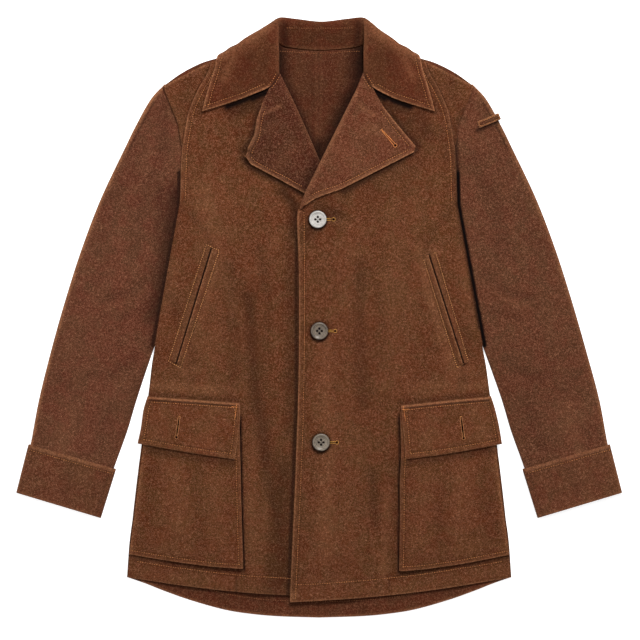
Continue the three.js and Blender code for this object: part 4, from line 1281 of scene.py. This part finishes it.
# How far inwards of the roll line, and how high, the sheet is as it comes round the fold.
ROLL = [[4.6, 0.35], [2.4, 0.6], [1.3, 2.3], [2.4, 4.2]]
LEAF_START = 5
LEAF_FLAT = {"from": 0.25, "fade": 0.15}
LEAF_LOFT = {"high": 1.9, "fade": 12}
LEAF_PLACES = [0, 0.16, 0.32, 0.49, 0.66, 0.8, 0.93, 1]
GORGE_PLACES = [0, 0.45, 1, 1.3, 1.6, 1.85, 2.1, 2.3, 2.5, 2.7, 2.85, 3]
GORGE_CLEARANCE = [0.56, 1.29]
# Ridges on the lapels, with a painted highlight along them.
LAPEL_MARKS = [
    mark([[70, 268], [104, 252]], 8, high=0.5, wear_and_highlight=0.08),
    mark([[34, 240], [60, 212]], 10, high=0.5, wear_and_highlight=0.06),
    mark([[56, 300], [78, 288]], 3, high=0.4, wear_and_highlight=0.2),
]
# The right lapel's curled edge is paler, with painted shadow from the left lapel's roll and more painted
# shade further out.
RIGHT_LAPEL_MARKS = [
    mark([[-86.5, 281], [-90.2, 258.2], [-99, 240.5]], 3.2, wear_and_highlight=0.6),
    mark([[6, 238], [-8, 206], [-24, 174]], 9, creased=0.45),
    mark([[-70, 286], [-78, 256]], 9, creased=0.2),
]
lapel_suedes = {
    LEFT: suede("suede left lapel", (94, 58, 39), (100, 51, 36)),
    RIGHT: suede("suede right lapel", (72, 43, 28), (79, 36, 26), (164, 114, 88)),
}


def front_at(side, place):
    """The height of the front's middle at one place."""
    return FRONT_HEIGHT[side](np.array([place[0]]), np.array([place[1]]))[0]


def lapel_sections(side):
    """From the front edge round the roll to the free edge: x, y and the sheet's height off the front."""
    path = along(collar_halves[side][0][:4], np.array(GORGE_PLACES) / 3, even=False)
    path[:, 0] -= side * GORGE_CLEARANCE[0]
    path[:, 1] -= GORGE_CLEARANCE[1]
    sections = [[[x, y, z - front_at(side, (x, y))] for x, y, z in path]]
    inward = np.array(LAPELS[side]["inward"])
    for roll, free, curl, over in LAPELS[side]["rows"]:
        width = math.dist(roll, free)
        out = (np.array(free) - roll) / width
        base = front_at(side, roll + ROLL[0][0] * inward)
        section = []
        for reach, rise in ROLL:
            place = roll + reach * inward
            section.append([*place, base + rise - front_at(side, place)])
        for place in LEAF_PLACES:
            reach = LEAF_START + (width - LEAF_START) * place
            loft = LEAF_LOFT["high"] * math.exp((LEAF_START - reach) / LEAF_LOFT["fade"])
            stand = (SUEDE + COLLAR_WALL) / 2 + LAPEL_GAP + loft + curl * place**3
            if place == LEAF_PLACES[-2]:
                reach += (width - reach) * min(over / 2, 1)
            elif place == LEAF_PLACES[-1]:
                reach -= over
                stand += 0.8 * over
            section.append([*(roll + reach * out), stand])
        sections.append(section)
    return sections


for side, word in ((LEFT, "left"), (RIGHT, "right")):
    leaf_sections = lapel_sections(side)
    leaf = LAPELS[side]
    upper_edge = [row[1] for row in leaf["rows"][: leaf["upper_end"] + 1]]
    lower_edge = [row[1] for row in leaf["rows"][leaf["lower_start"] :]]
    upper_line = inset(upper_edge, -side * LAPEL_STITCH, start=2, end=LAPEL_STITCH)
    lower_line = inset(lower_edge, -side * LAPEL_STITCH, start=LAPEL_STITCH - 1, end=14)
    gorge_edge = [place[:2] for place in leaf_sections[0]]
    gorge_line = inset(gorge_edge[3:], -side * GORGE_STITCH["lapel"], start=2, end=1)
    lapel_marks = [stitched(line) for line in (upper_line, lower_line, gorge_line)]
    lapel_marks += turned_edge(upper_edge, inwards=3, rubbed=0.6, rim=1.8)
    lapel_marks += turned_edge(lower_edge, inwards=3, rubbed=0.85, rim=2.2)
    if side == RIGHT:
        lapel_marks += RIGHT_LAPEL_MARKS
    # Painted shade along the gorge seam; the roll is rubbed.
    lapel_marks += [
        mark([row[0] for row in leaf["rows"]], leaf["roll_wide"], wear_and_highlight=leaf["roll_worn"]),
        mark(gorge_edge, 1.6, creased=0.4),
        *marks_on_side(side, LAPEL_MARKS),
    ]

    def place_lapel(u, v):
        xyz = lofted(leaf_sections, u, v, straight=True)
        xyz[:, 2] += FRONT_HEIGHT[side](xyz[:, 0], xyz[:, 1])
        flat, wear_and_highlight, creased = press(xyz.copy(), lapel_marks)
        xyz[:, 2] += ease((u - LEAF_FLAT["from"]) / LEAF_FLAT["fade"]) * (flat[:, 2] - xyz[:, 2])
        return xyz, wear_and_highlight, creased

    lapel = cloth(
        f"lapel_{word}",
        place_lapel,
        across=88,
        down=130,
        material=lapel_suedes[side],
        wall=COLLAR_WALL,
    )
    lapel_stitches = topstitch(f"lapel_{word}_stitches", lapel, [upper_line, lower_line, gorge_line])


# ---- Chest pockets ----
# A slanted slit in each front between two narrow lips of thinner suede, which are set in and lie up against
# each other. A box of pale topstitching goes round both, through the front.

LIP = {"wall": 1.2, "top": 7.6, "foot": 5.8, "gap": 0.6, "lift": 0.4, "crown": 0.8, "sunk": 0.85}
LIP_EDGE = 0.6
LIP_END = 20
LIP_STITCHES = {"pitch": 3.1, "long": 2.1, "wide": 1.25}
# How rubbed the inner lip, at -1, and the outer lip, at 1, are at the slit, and how much painted shade each
# has there.
LIP_RUBBED = {-1: 0.4, 1: 0.0}
LIP_SHADED = {-1: 0.0, 1: 1.0}
# How far across the lip each of the two goes, and how much of it there is all over.
LIP_FADE = {"rubbed": 0.4, "shaded": 0.3}
LIP_EVEN = {"rubbed": 0.1, "shaded": 0.06}

for side, word in ((LEFT, "left"), (RIGHT, "right")):
    slit = np.array(on_side(side, CHEST_SLITS[side]))
    slit_run = (slit[1] - slit[0]) / np.linalg.norm(slit[1] - slit[0])
    box = np.array(on_side(side, CHEST_BOXES[side]))
    box_sides = [along([box[k], box[(k + 1) % 4]], np.linspace(0, 1, 40))[:, :2] for k in range(4)]
    box_line = np.vstack(box_sides)
    lip_stitches = topstitch(
        f"chest_pocket_{word}_stitches", front_pieces[side], [box_line], pale_thread, **LIP_STITCHES
    )
    for outwards, place_word in ((-1, "inner"), (1, "outer")):
        away = np.array([-slit_run[1], slit_run[0]])
        away *= math.copysign(1, away[0] * side * outwards)

        def place_lip(u, v):
            width = LIP["top"] + (LIP["foot"] - LIP["top"]) * v
            flat = slit[0] + (slit[1] - slit[0]) * v[:, None] + away * (LIP["gap"] + u * width)[:, None]
            above = FRONT_HEIGHT[side](flat[:, 0], flat[:, 1]) + (SUEDE + LIP["wall"]) / 2 + LIP["lift"]
            at_edge = ease((u - LIP_EDGE) / (1 - LIP_EDGE))
            at_end = ease(1 - LIP_END * (1 - np.abs(2 * v - 1)))
            sunk = LIP["sunk"] * np.maximum(at_edge, at_end)
            xyz = np.column_stack([flat, above + LIP["crown"] * (1 - u**2) - sunk])
            # The inner lip is rubbed at the slit; the outer lip gets painted shade there.
            wear_and_highlight = LIP_RUBBED[outwards] * ease(1 - u / LIP_FADE["rubbed"]) + LIP_EVEN["rubbed"]
            creased = LIP_SHADED[outwards] * ease(1 - u / LIP_FADE["shaded"]) + LIP_EVEN["shaded"]
            return xyz, wear_and_highlight, creased

        node = f"chest_lip_{word}_{place_word}"
        lip = cloth(node, place_lip, across=14, down=90, material=front_suede, wall=LIP["wall"])


# ---- Patch pockets ----
# A patch of suede on the lower part of each front. Its inner edge folds under like a bellows, so the face
# stands off the front there, and its bottom and outer edges are sewn down.

LOOSE = 0.6
BELLOWS = {"high": 3.2, "from": 0.35, "fade": 0.6, "pressed": 0.75, "foot": 0.86, "folded_under": 0.5}
POCKET_STITCH = 5
POCKETS = {
    LEFT: {
        "inner": [[113.6, -134], [115, -199], [113.6, -228], [113.4, -288], [112.4, -359.5]],
        "bottom": [[112.4, -359.5], [141.6, -357.5], [201.4, -349.3], [268.6, -336.4]],
    },
    RIGHT: {
        "inner": [[112.5, -134], [112, -152], [108.8, -288], [106.8, -356]],
        "bottom": [[106.8, -356], [148.7, -353.3], [216.5, -344.3], [268.4, -335.6]],
    },
}
POCKET_OUTER = [[242.4, -128], [249.5, -188], [260.2, -273], [266, -316]]
# From the front up round the fold to the pocket's face: how far outwards, and the share of its height.
BELLOWS_FOLD = [[12, 0], [3, 0.02], [1, 0.5], [3, 0.98], [8, 1]]
FACE_COLUMNS = 8
FACE_ROWS = 12
FACE_START = {"pressed": 0.22, "fade": 0.06, "wear_and_highlight": 0.1}
# A painted shadow below the flap, and folds with painted highlights and painted shade.
POCKET_MARKS = [
    mark([[122, -206], [190, -197], [254, -186]], 7, creased=0.35),
    mark([[150, -230], [142, -320]], 16, high=0.9, wear_and_highlight=0.06),
    mark([[206, -215], [196, -300]], 18, high=1.0, wear_and_highlight=0.08),
    mark([[174, -222], [170, -330]], 12, high=-0.7, creased=0.1),
    mark([[236, -220], [244, -320]], 12, high=-0.5, creased=0.1),
    mark([[126, -330], [176, -334], [240, -322]], 9, high=0.5, wear_and_highlight=0.05),
]
pocket_suede = suede("suede pockets", (95, 60, 35), (101, 52, 32))


def bellows(u, v):
    """How far a pocket's face stands off the front."""
    full = BELLOWS["high"] * (1 - ease((u - BELLOWS["from"]) / BELLOWS["fade"]))
    full *= 1 - BELLOWS["pressed"] * ease((v - BELLOWS["foot"]) / (1 - BELLOWS["foot"]))
    return np.maximum(full, (SUEDE + SEAM) * (1 - ease(u / BELLOWS["folded_under"])))


for side, word in ((LEFT, "left"), (RIGHT, "right")):
    pocket_inner, pocket_bottom = POCKETS[side]["inner"], POCKETS[side]["bottom"]
    pocket_edges = [
        on_side(side, places)
        for places in (
            pocket_inner,
            [*POCKET_OUTER, pocket_bottom[-1]],
            [pocket_inner[0], POCKET_OUTER[0]],
            pocket_bottom,
        )
    ]
    pocket_sections = []
    for v in np.linspace(0, 1, FACE_ROWS + 1):
        u = np.arange(FACE_COLUMNS + 1) / FACE_COLUMNS
        face = stretched(*pocket_edges, u, np.full(len(u), v))
        face[:, 2] = SUEDE + LOOSE + bellows(u, v)
        fold = [
            [face[0, 0] + side * out, face[0, 1], SUEDE + LOOSE + rise * bellows(0, v)]
            for out, rise in BELLOWS_FOLD
        ]
        pocket_sections.append([*fold, *face[1:]])
    fold_line = inset([[x + side, y] for x, y in pocket_edges[0]], side * POCKET_STITCH, start=4, end=4)
    foot_line = inset(pocket_edges[3], side * POCKET_STITCH, start=4, end=2)
    pocket_marks = [stitched(fold_line), stitched(foot_line)]
    pocket_marks += turned_edge(pocket_edges[0], rubbed=0.8) + turned_edge(pocket_edges[3], rubbed=0.6)
    pocket_marks += [mark(pocket_edges[1], 4, wear_and_highlight=0.3), *marks_on_side(side, POCKET_MARKS)]

    def place_pocket(u, v):
        xyz = lofted(pocket_sections, u, v)
        xyz[:, 2] += FRONT_HEIGHT[side](xyz[:, 0], xyz[:, 1])
        flat, wear_and_highlight, creased = press(xyz.copy(), pocket_marks)
        face = ease((u - FACE_START["pressed"]) / FACE_START["fade"])
        xyz[:, 2] += face * (flat[:, 2] - xyz[:, 2])
        return xyz, wear_and_highlight * ease((u - FACE_START["wear_and_highlight"]) / FACE_START["wear_and_highlight"]), creased

    pocket = cloth(f"pocket_{word}", place_pocket, across=96, down=116, material=pocket_suede)
    pocket_stitches = topstitch(f"pocket_{word}_stitches", pocket, [fold_line, foot_line])


# ---- Pocket flaps ----
# Each flap is sewn on above the pocket's mouth with a ridge along the seam, lies over the mouth, and has
# turned, topstitched edges. Its inner top corner is held by a few bright orange stitches.

FLAP_STITCH = 7
FLAP_SEAM = 8
WELT = {"high": 0.9, "at": 0.1, "drop": 0.13, "crease": 5.6}
OVER_BELLOWS = 0.4
FLAPS = {
    LEFT: [
        [[115, -124.5], [117.2, -148], [119.4, -172], [121.8, -201]],
        [[242.7, -111.5], [248, -128], [254, -153], [258.4, -179.3]],
        [[115, -124.5], [180, -117.5], [242.7, -111.5]],
        [[121.8, -201], [166, -195.5], [207.7, -188.9], [258.4, -179.3]],
    ],
    RIGHT: [
        [[112.2, -121.1], [111.2, -140], [114, -166], [118.6, -201.3]],
        [[242.5, -111.5], [248.2, -130.6], [252, -157], [256.8, -178.8]],
        [[112.2, -121.1], [180, -116], [242.5, -111.5]],
        [[118.6, -201.3], [165, -194.5], [210, -187], [256.8, -178.8]],
    ],
}
flap_suede = suede("suede flaps", (98, 62, 37), (105, 54, 33))
orange_thread = thread("orange thread", (228, 142, 78))
flap_pieces = {}

for side, word in ((LEFT, "left"), (RIGHT, "right")):
    flap_edges = [on_side(side, places) for places in FLAPS[side]]
    flap_inner, flap_outer, flap_top, flap_foot = flap_edges
    seam_line = inset(flap_top, -side * FLAP_SEAM, start=3, end=4)
    flap_lines = [
        seam_line,
        inset(flap_inner, side * FLAP_STITCH, start=FLAP_SEAM, end=FLAP_STITCH),
        inset(flap_foot, side * FLAP_STITCH, start=FLAP_STITCH, end=FLAP_STITCH),
        inset(flap_outer, -side * FLAP_STITCH, start=FLAP_SEAM, end=FLAP_STITCH),
    ]
    flap_marks = [stitched(line) for line in flap_lines[1:]]
    flap_marks += [stitched(seam_line, high=-0.9, wide=2.6)]
    for edge_places in (flap_inner, flap_foot, flap_outer):
        flap_marks += turned_edge(along(edge_places, np.linspace(0, 1, 10))[:, :2], inwards=3)
    # Painted shade along the top seam and in the welt's crease, a paler welt, and folds with a painted
    # highlight.
    flap_marks += [
        mark(flap_top, 2.2, off=2.5, wear_and_highlight=0.45),
        mark(flap_top, 1.4, creased=0.5),
        mark(inset(flap_top, -side * WELT["crease"], start=2, end=3), 1.3, creased=0.75),
        mark(on_side(side, [[150, -140], [160, -186]]), 14, high=0.6, wear_and_highlight=0.05),
        mark(on_side(side, [[222, -132], [232, -176]]), 12, high=0.5, wear_and_highlight=0.05),
    ]

    def place_flap(u, v):
        xyz = stretched(*flap_edges, u, v)
        welt = WELT["high"] * ease(1 - np.abs(v - WELT["at"]) / WELT["at"])
        over_bellows = BELLOWS["high"] * (1 - ease((u - OVER_BELLOWS) / (1 - OVER_BELLOWS)))
        xyz[:, 2] = FRONT_HEIGHT[side](xyz[:, 0], xyz[:, 1]) + SUEDE + SEAM
        xyz[:, 2] += welt + (over_bellows + SUEDE + LOOSE) * ease(v / WELT["drop"])
        return press(xyz, flap_marks)

    flap = cloth(f"flap_{word}", place_flap, across=90, down=56, material=flap_suede)
    flap_pieces[side] = flap
    flap_stitches = topstitch(f"flap_{word}_stitches", flap, flap_lines)
    bar_corner = np.array(flap_inner[0]) + [side * 1.8, -6.5]
    bar_lines = [
        bar_corner + [[0, 0], [side * 9, 0.6]],
        bar_corner + [[side * 1.6, 5.5], [side * 2.4, -3], [side * 4.6, -16]],
    ]
    bar = topstitch(f"flap_{word}_bar", flap, bar_lines, orange_thread, pitch=2.4, long=2.2)


# ---- Buttonholes ----
# Keyhole buttonholes: a slit worked over with close stitches, with an eye at one end and a bar at the
# other. Each button has one in golden thread, the left lapel one in orange, and each flap a pale one.

HOLE = {"pitch": 0.85, "wide": 0.8, "eye": 1.9, "slit": 1.3, "splay": 1.45, "bar": 0.8, "ease": 0.4}
# How proud the stitches lie along the slit, round the eye and in the bar, and how deep the painted shade
# lies in the slit and the eye.
PROUD = {"side": 0.2, "eye": 0.25, "bar": 0.25, "bar_end": 0.15}
DEEP = {"slit": -0.3, "eye": -0.9}
EYE_ANGLES = np.radians(np.arange(-150, 151, 25))
golden_thread = thread("golden thread", (214, 158, 74))

# The dark of an open slit is painted: a near-black shape stands in for the shade inside it.
slit_shade, slit_tree, slit_surface = new_material("painted shade in a slit")
slit_nap = noise_mask(slit_tree, 900, 0.4, 0.6)
slit_shade_colour = mix_colours(slit_tree, slit_nap, linear(10, 6, 4), linear(26, 15, 11))
slit_tree.links.new(slit_shade_colour, slit_surface.inputs["Base Color"])
slit_surface.inputs["Roughness"].default_value = 1.0
slit_surface.inputs["Specular IOR Level"].default_value = 0.02


def buttonhole(name, piece, start, eye, stitches, long, slit, narrow=1.0):
    """A worked slit from its start, which may be narrower, to its eye: its stitches, and the painted shade
    in it.
    """
    surface = surface_under(piece)
    run = np.array(eye, float) - start
    length = np.linalg.norm(run)
    run /= length
    beside = np.array([-run[1], run[0]])
    turn = math.atan2(run[1], run[0])
    worked = bmesh.new()
    half = (long + slit) / 2
    count = int((length - HOLE["eye"]) / HOLE["pitch"])
    for k in range(count):
        for hand in (1, -1):
            width = half * (narrow + (1 - narrow) * k / count)
            x, y = start + run * k * HOLE["pitch"] + beside * hand * width
            splayed = turn + hand * HOLE["splay"]
            lay_stitch(worked, surface, x, y, splayed, long, HOLE["wide"], PROUD["side"])
    for angle in turn + EYE_ANGLES:
        x, y = eye + (HOLE["eye"] + long / 2) * np.array([math.cos(angle), math.sin(angle)])
        lay_stitch(worked, surface, x, y, angle, long, HOLE["wide"], PROUD["eye"])
    for k in (-1, 0, 1):
        x, y = start + (beside * k - run) * HOLE["bar"]
        proud = PROUD["bar_end"] if k else PROUD["bar"]
        lay_stitch(worked, surface, x, y, turn + math.pi / 2, 2 * long, HOLE["wide"], proud)
    thread_piece(f"{name}_stitches", worked, stitches)
    # A near-black shape sunk in the slit and the eye paints the shade in the opening.
    opening = bmesh.new()
    middle = start + run * length / 2
    lay_stitch(opening, surface, *middle, turn, length, narrow * slit + HOLE["ease"], DEEP["slit"])
    lay_stitch(opening, surface, *eye, turn, 2.2 * HOLE["eye"], 2 * HOLE["eye"], DEEP["eye"])
    thread_piece(f"{name}_slit", opening, slit_shade)


for k, (x, y) in enumerate(BUTTON_PLACES):
    buttonhole(
        f"buttonhole_{k + 1}",
        front_pieces[LEFT],
        start=[x - 9, y],
        eye=[x + 22.5, y],
        stitches=golden_thread,
        long=1.0,
        slit=HOLE["slit"],
    )
buttonhole(
    "buttonhole_lapel",
    bpy.data.objects["lapel_left_suede"],
    start=[89.9, 265.7],
    eye=[108.9, 244.2],
    stitches=orange_thread,
    long=1.2,
    slit=1.7,
    narrow=0.4,
)
for word, piece, start, eye in (
    ("left", flap_pieces[LEFT], [202.1, -141.3], [205.9, -171.1]),
    ("right", flap_pieces[RIGHT], [-197.5, -140.7], [-201.4, -169.7]),
):
    buttonhole(f"buttonhole_flap_{word}", piece, start, eye, stitches=pale_thread, long=0.8, slit=2.0)


# ---- Buttons ----
# Four-hole buttons of pale grey horn, turned with a raised rim, polished, and sewn on with dark thread. The
# first is paler than the others.

BUTTON = {"face": 2.6, "hole": 1.7, "hole_offset": 3.3, "reach": 9}
BUTTON_GAP = 0.5
# The thread between the holes, as a ring of four short strands, and the thread that fills each hole.
STRAND = {"out": 2.3, "size": (2.0, 1.1, 0.8)}
FOOT = {"rise": 0.9, "size": (3.3, 3.3, 2.6)}
BUTTON_PROFILE = [
    [0, 0],
    [10.7, 0],
    [11.7, 0.5],
    [12.25, 1.4],
    [12.25, 3.2],
    [11.95, 3.9],
    [11.3, 4.2],
    [10.2, 4.15],
    [9.5, 3.9],
    [9.0, 3.3],
    [8.5, 2.95],
    [7.8, 2.8],
    [6.0, 2.68],
    [4.4, 2.6],
    [0, 2.6],
]
HORNS = [
    [(184, 180, 175), (122, 116, 110)],
    [(112, 99, 85), (42, 35, 29)],
    [(126, 114, 99), (54, 46, 39)],
]
dark_thread = thread("dark thread", (24, 8, 7))


def horn(name, place, light, dark):
    """Polished horn with turned rings and clouds in it, centred on its button."""
    material, tree, surface = new_material(name)
    at = tree.nodes.new("ShaderNodeTexCoord")
    centred = tree.nodes.new("ShaderNodeMapping")
    centred.inputs["Location"].default_value = (-place[0] * MM, -place[1] * MM, 0)
    rings = tree.nodes.new("ShaderNodeTexWave")
    rings.wave_type = "RINGS"
    rings.rings_direction = "Z"
    rings.inputs["Scale"].default_value = 150
    rings.inputs["Distortion"].default_value = 3.0
    rings.inputs["Detail"].default_value = 3.0
    rings.inputs["Detail Scale"].default_value = 2.0
    tree.links.new(at.outputs["Object"], centred.inputs["Vector"])
    tree.links.new(centred.outputs["Vector"], rings.inputs["Vector"])
    clouds = noise_mask(tree, 190, 0.35, 0.68, detail=4)
    cloudy = maths(tree, "MULTIPLY", maths(tree, "ADD", rings.outputs["Fac"], clouds), 0.5)
    colour = mix_colours(tree, cloudy, linear(*light), linear(*dark))
    tree.links.new(colour, surface.inputs["Base Color"])
    polish = maths(tree, "ADD", 0.26, maths(tree, "MULTIPLY", clouds, 0.22))
    tree.links.new(polish, surface.inputs["Roughness"])
    add_bump(tree, surface, rings.outputs["Fac"], strength=0.25, distance=0.12)
    return material


def drilled(blank):
    """The button's blank with its four holes cut through."""
    for i, j in ((1, 0), (0, -1), (-1, 0), (0, 1)):
        drill_bm = bmesh.new()
        centre = Matrix.Translation(Vector((i, j, 0)) * BUTTON["hole_offset"] * MM)
        radius = BUTTON["hole"] * MM
        size = {"radius1": radius, "radius2": radius, "depth": 20 * MM}
        bmesh.ops.create_cone(drill_bm, cap_ends=True, segments=16, matrix=centre, **size)
        drill = finished("drill", drill_bm)
        cut = blank.modifiers.new("hole", "BOOLEAN")
        cut.operation = "DIFFERENCE"
        cut.solver = "EXACT"
        cut.object = drill
        evaluated = blank.evaluated_get(bpy.context.evaluated_depsgraph_get())
        cut_mesh = bpy.data.meshes.new_from_object(evaluated)
        blank.modifiers.clear()
        blank.data = cut_mesh
        bpy.data.objects.remove(drill)


for k, (x, y) in enumerate(BUTTON_PLACES):
    reach = np.array([-BUTTON["reach"], 0, BUTTON["reach"]])
    around_x, around_y = np.repeat(x + reach, 3), np.tile(y + reach, 3)
    seat = over_front(around_x, around_y).max() + SUEDE / 2 + BUTTON_GAP
    button_bm = bmesh.new()
    outline = [button_bm.verts.new((r * MM, 0, z * MM)) for r, z in BUTTON_PROFILE]
    for first, second in zip(outline[:-1], outline[1:]):
        button_bm.edges.new((first, second))
    bmesh.ops.spin(
        button_bm,
        geom=button_bm.verts[:] + button_bm.edges[:],
        axis=(0, 0, 1),
        angle=2 * math.pi,
        steps=72,
        use_merge=True,
    )
    bmesh.ops.remove_doubles(button_bm, verts=button_bm.verts, dist=0.001 * MM)
    bmesh.ops.recalc_face_normals(button_bm, faces=button_bm.faces)
    button = finished(f"button_{k + 1}_horn", button_bm)
    drilled(button)
    button.data.transform(Matrix.Translation(Vector((x, y, seat)) * MM))
    button.data.shade_smooth()
    button.data.materials.clear()
    button.data.materials.append(horn(f"horn {k + 1}", (x, y), *HORNS[k]))
    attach(button, BODY)
    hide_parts(f"button_{k + 1}")

    sewing = bmesh.new()
    level = seat + BUTTON["face"]
    for turn in (0, 90, 180, 270):
        round_middle = Matrix.Rotation(math.radians(turn), 4, "Z")
        place = Matrix.Translation(Vector((x, y, level)) * MM) @ round_middle
        place = place @ Matrix.Translation(Vector((STRAND["out"] * MM, 0, 0)))
        place = place @ Matrix.Diagonal((*(size * MM for size in STRAND["size"]), 1))
        bmesh.ops.create_icosphere(sewing, subdivisions=2, radius=0.5, matrix=place)
        foot = Vector((x, y, seat + FOOT["rise"])) + round_middle @ Vector((BUTTON["hole_offset"], 0, 0))
        place = Matrix.Translation(foot * MM) @ Matrix.Diagonal((*(size * MM for size in FOOT["size"]), 1))
        bmesh.ops.create_icosphere(sewing, subdivisions=2, radius=0.5, matrix=place)
    thread_piece(f"button_{k + 1}_thread", sewing, dark_thread)


# ---- The studio ----
# A white floor under soft overhead light that comes a little from behind the collar, and a camera straight
# above.

CAMERA_PLACE = (0.00213, -0.00355, 10)
FRAME_WIDE = 0.9088
SENSOR = 36

floor_bm = bmesh.new()
bmesh.ops.create_grid(floor_bm, x_segments=1, y_segments=1, size=6)
floor = finished("floor", floor_bm)
floor_paint, _, paint_surface = new_material("white floor")
paint_surface.inputs["Base Color"].default_value = (0.7, 0.7, 0.7, 1)
paint_surface.inputs["Roughness"].default_value = 0.9
paint_surface.inputs["Specular IOR Level"].default_value = 0.1
paint_surface.inputs["Emission Color"].default_value = (1, 1, 1, 1)
paint_surface.inputs["Emission Strength"].default_value = 0.7
floor.data.materials.append(floor_paint)


def softbox(name, place, aim, size, watts):
    """A large square light, aimed at a point."""
    lamp = bpy.data.lights.new(name, "AREA")
    lamp.energy = watts
    lamp.size = size
    box = bpy.data.objects.new(name, lamp)
    box.location = place
    box.rotation_euler = (Vector(aim) - Vector(place)).to_track_quat("-Z", "Y").to_euler()
    bpy.context.collection.objects.link(box)


softbox("key", (0.5, 1.9, 2.0), (0, 0, 0), 0.8, 104)
softbox("fill", (-1.5, 0.2, 2.6), (0, 0, 0), 2.4, 16)
world = bpy.data.worlds.new("studio")
world.use_nodes = True
world.node_tree.nodes["Background"].inputs["Color"].default_value = (1, 1, 1, 1)
world.node_tree.nodes["Background"].inputs["Strength"].default_value = 0.5
bpy.context.scene.world = world
bpy.context.scene.view_settings.view_transform = "Standard"

lens = bpy.data.cameras.new("camera")
lens.sensor_width = SENSOR
lens.lens = SENSOR * CAMERA_PLACE[2] / FRAME_WIDE
lens.clip_end = 40
camera = bpy.data.objects.new("camera", lens)
camera.location = CAMERA_PLACE
bpy.context.collection.objects.link(camera)
bpy.context.scene.camera = camera
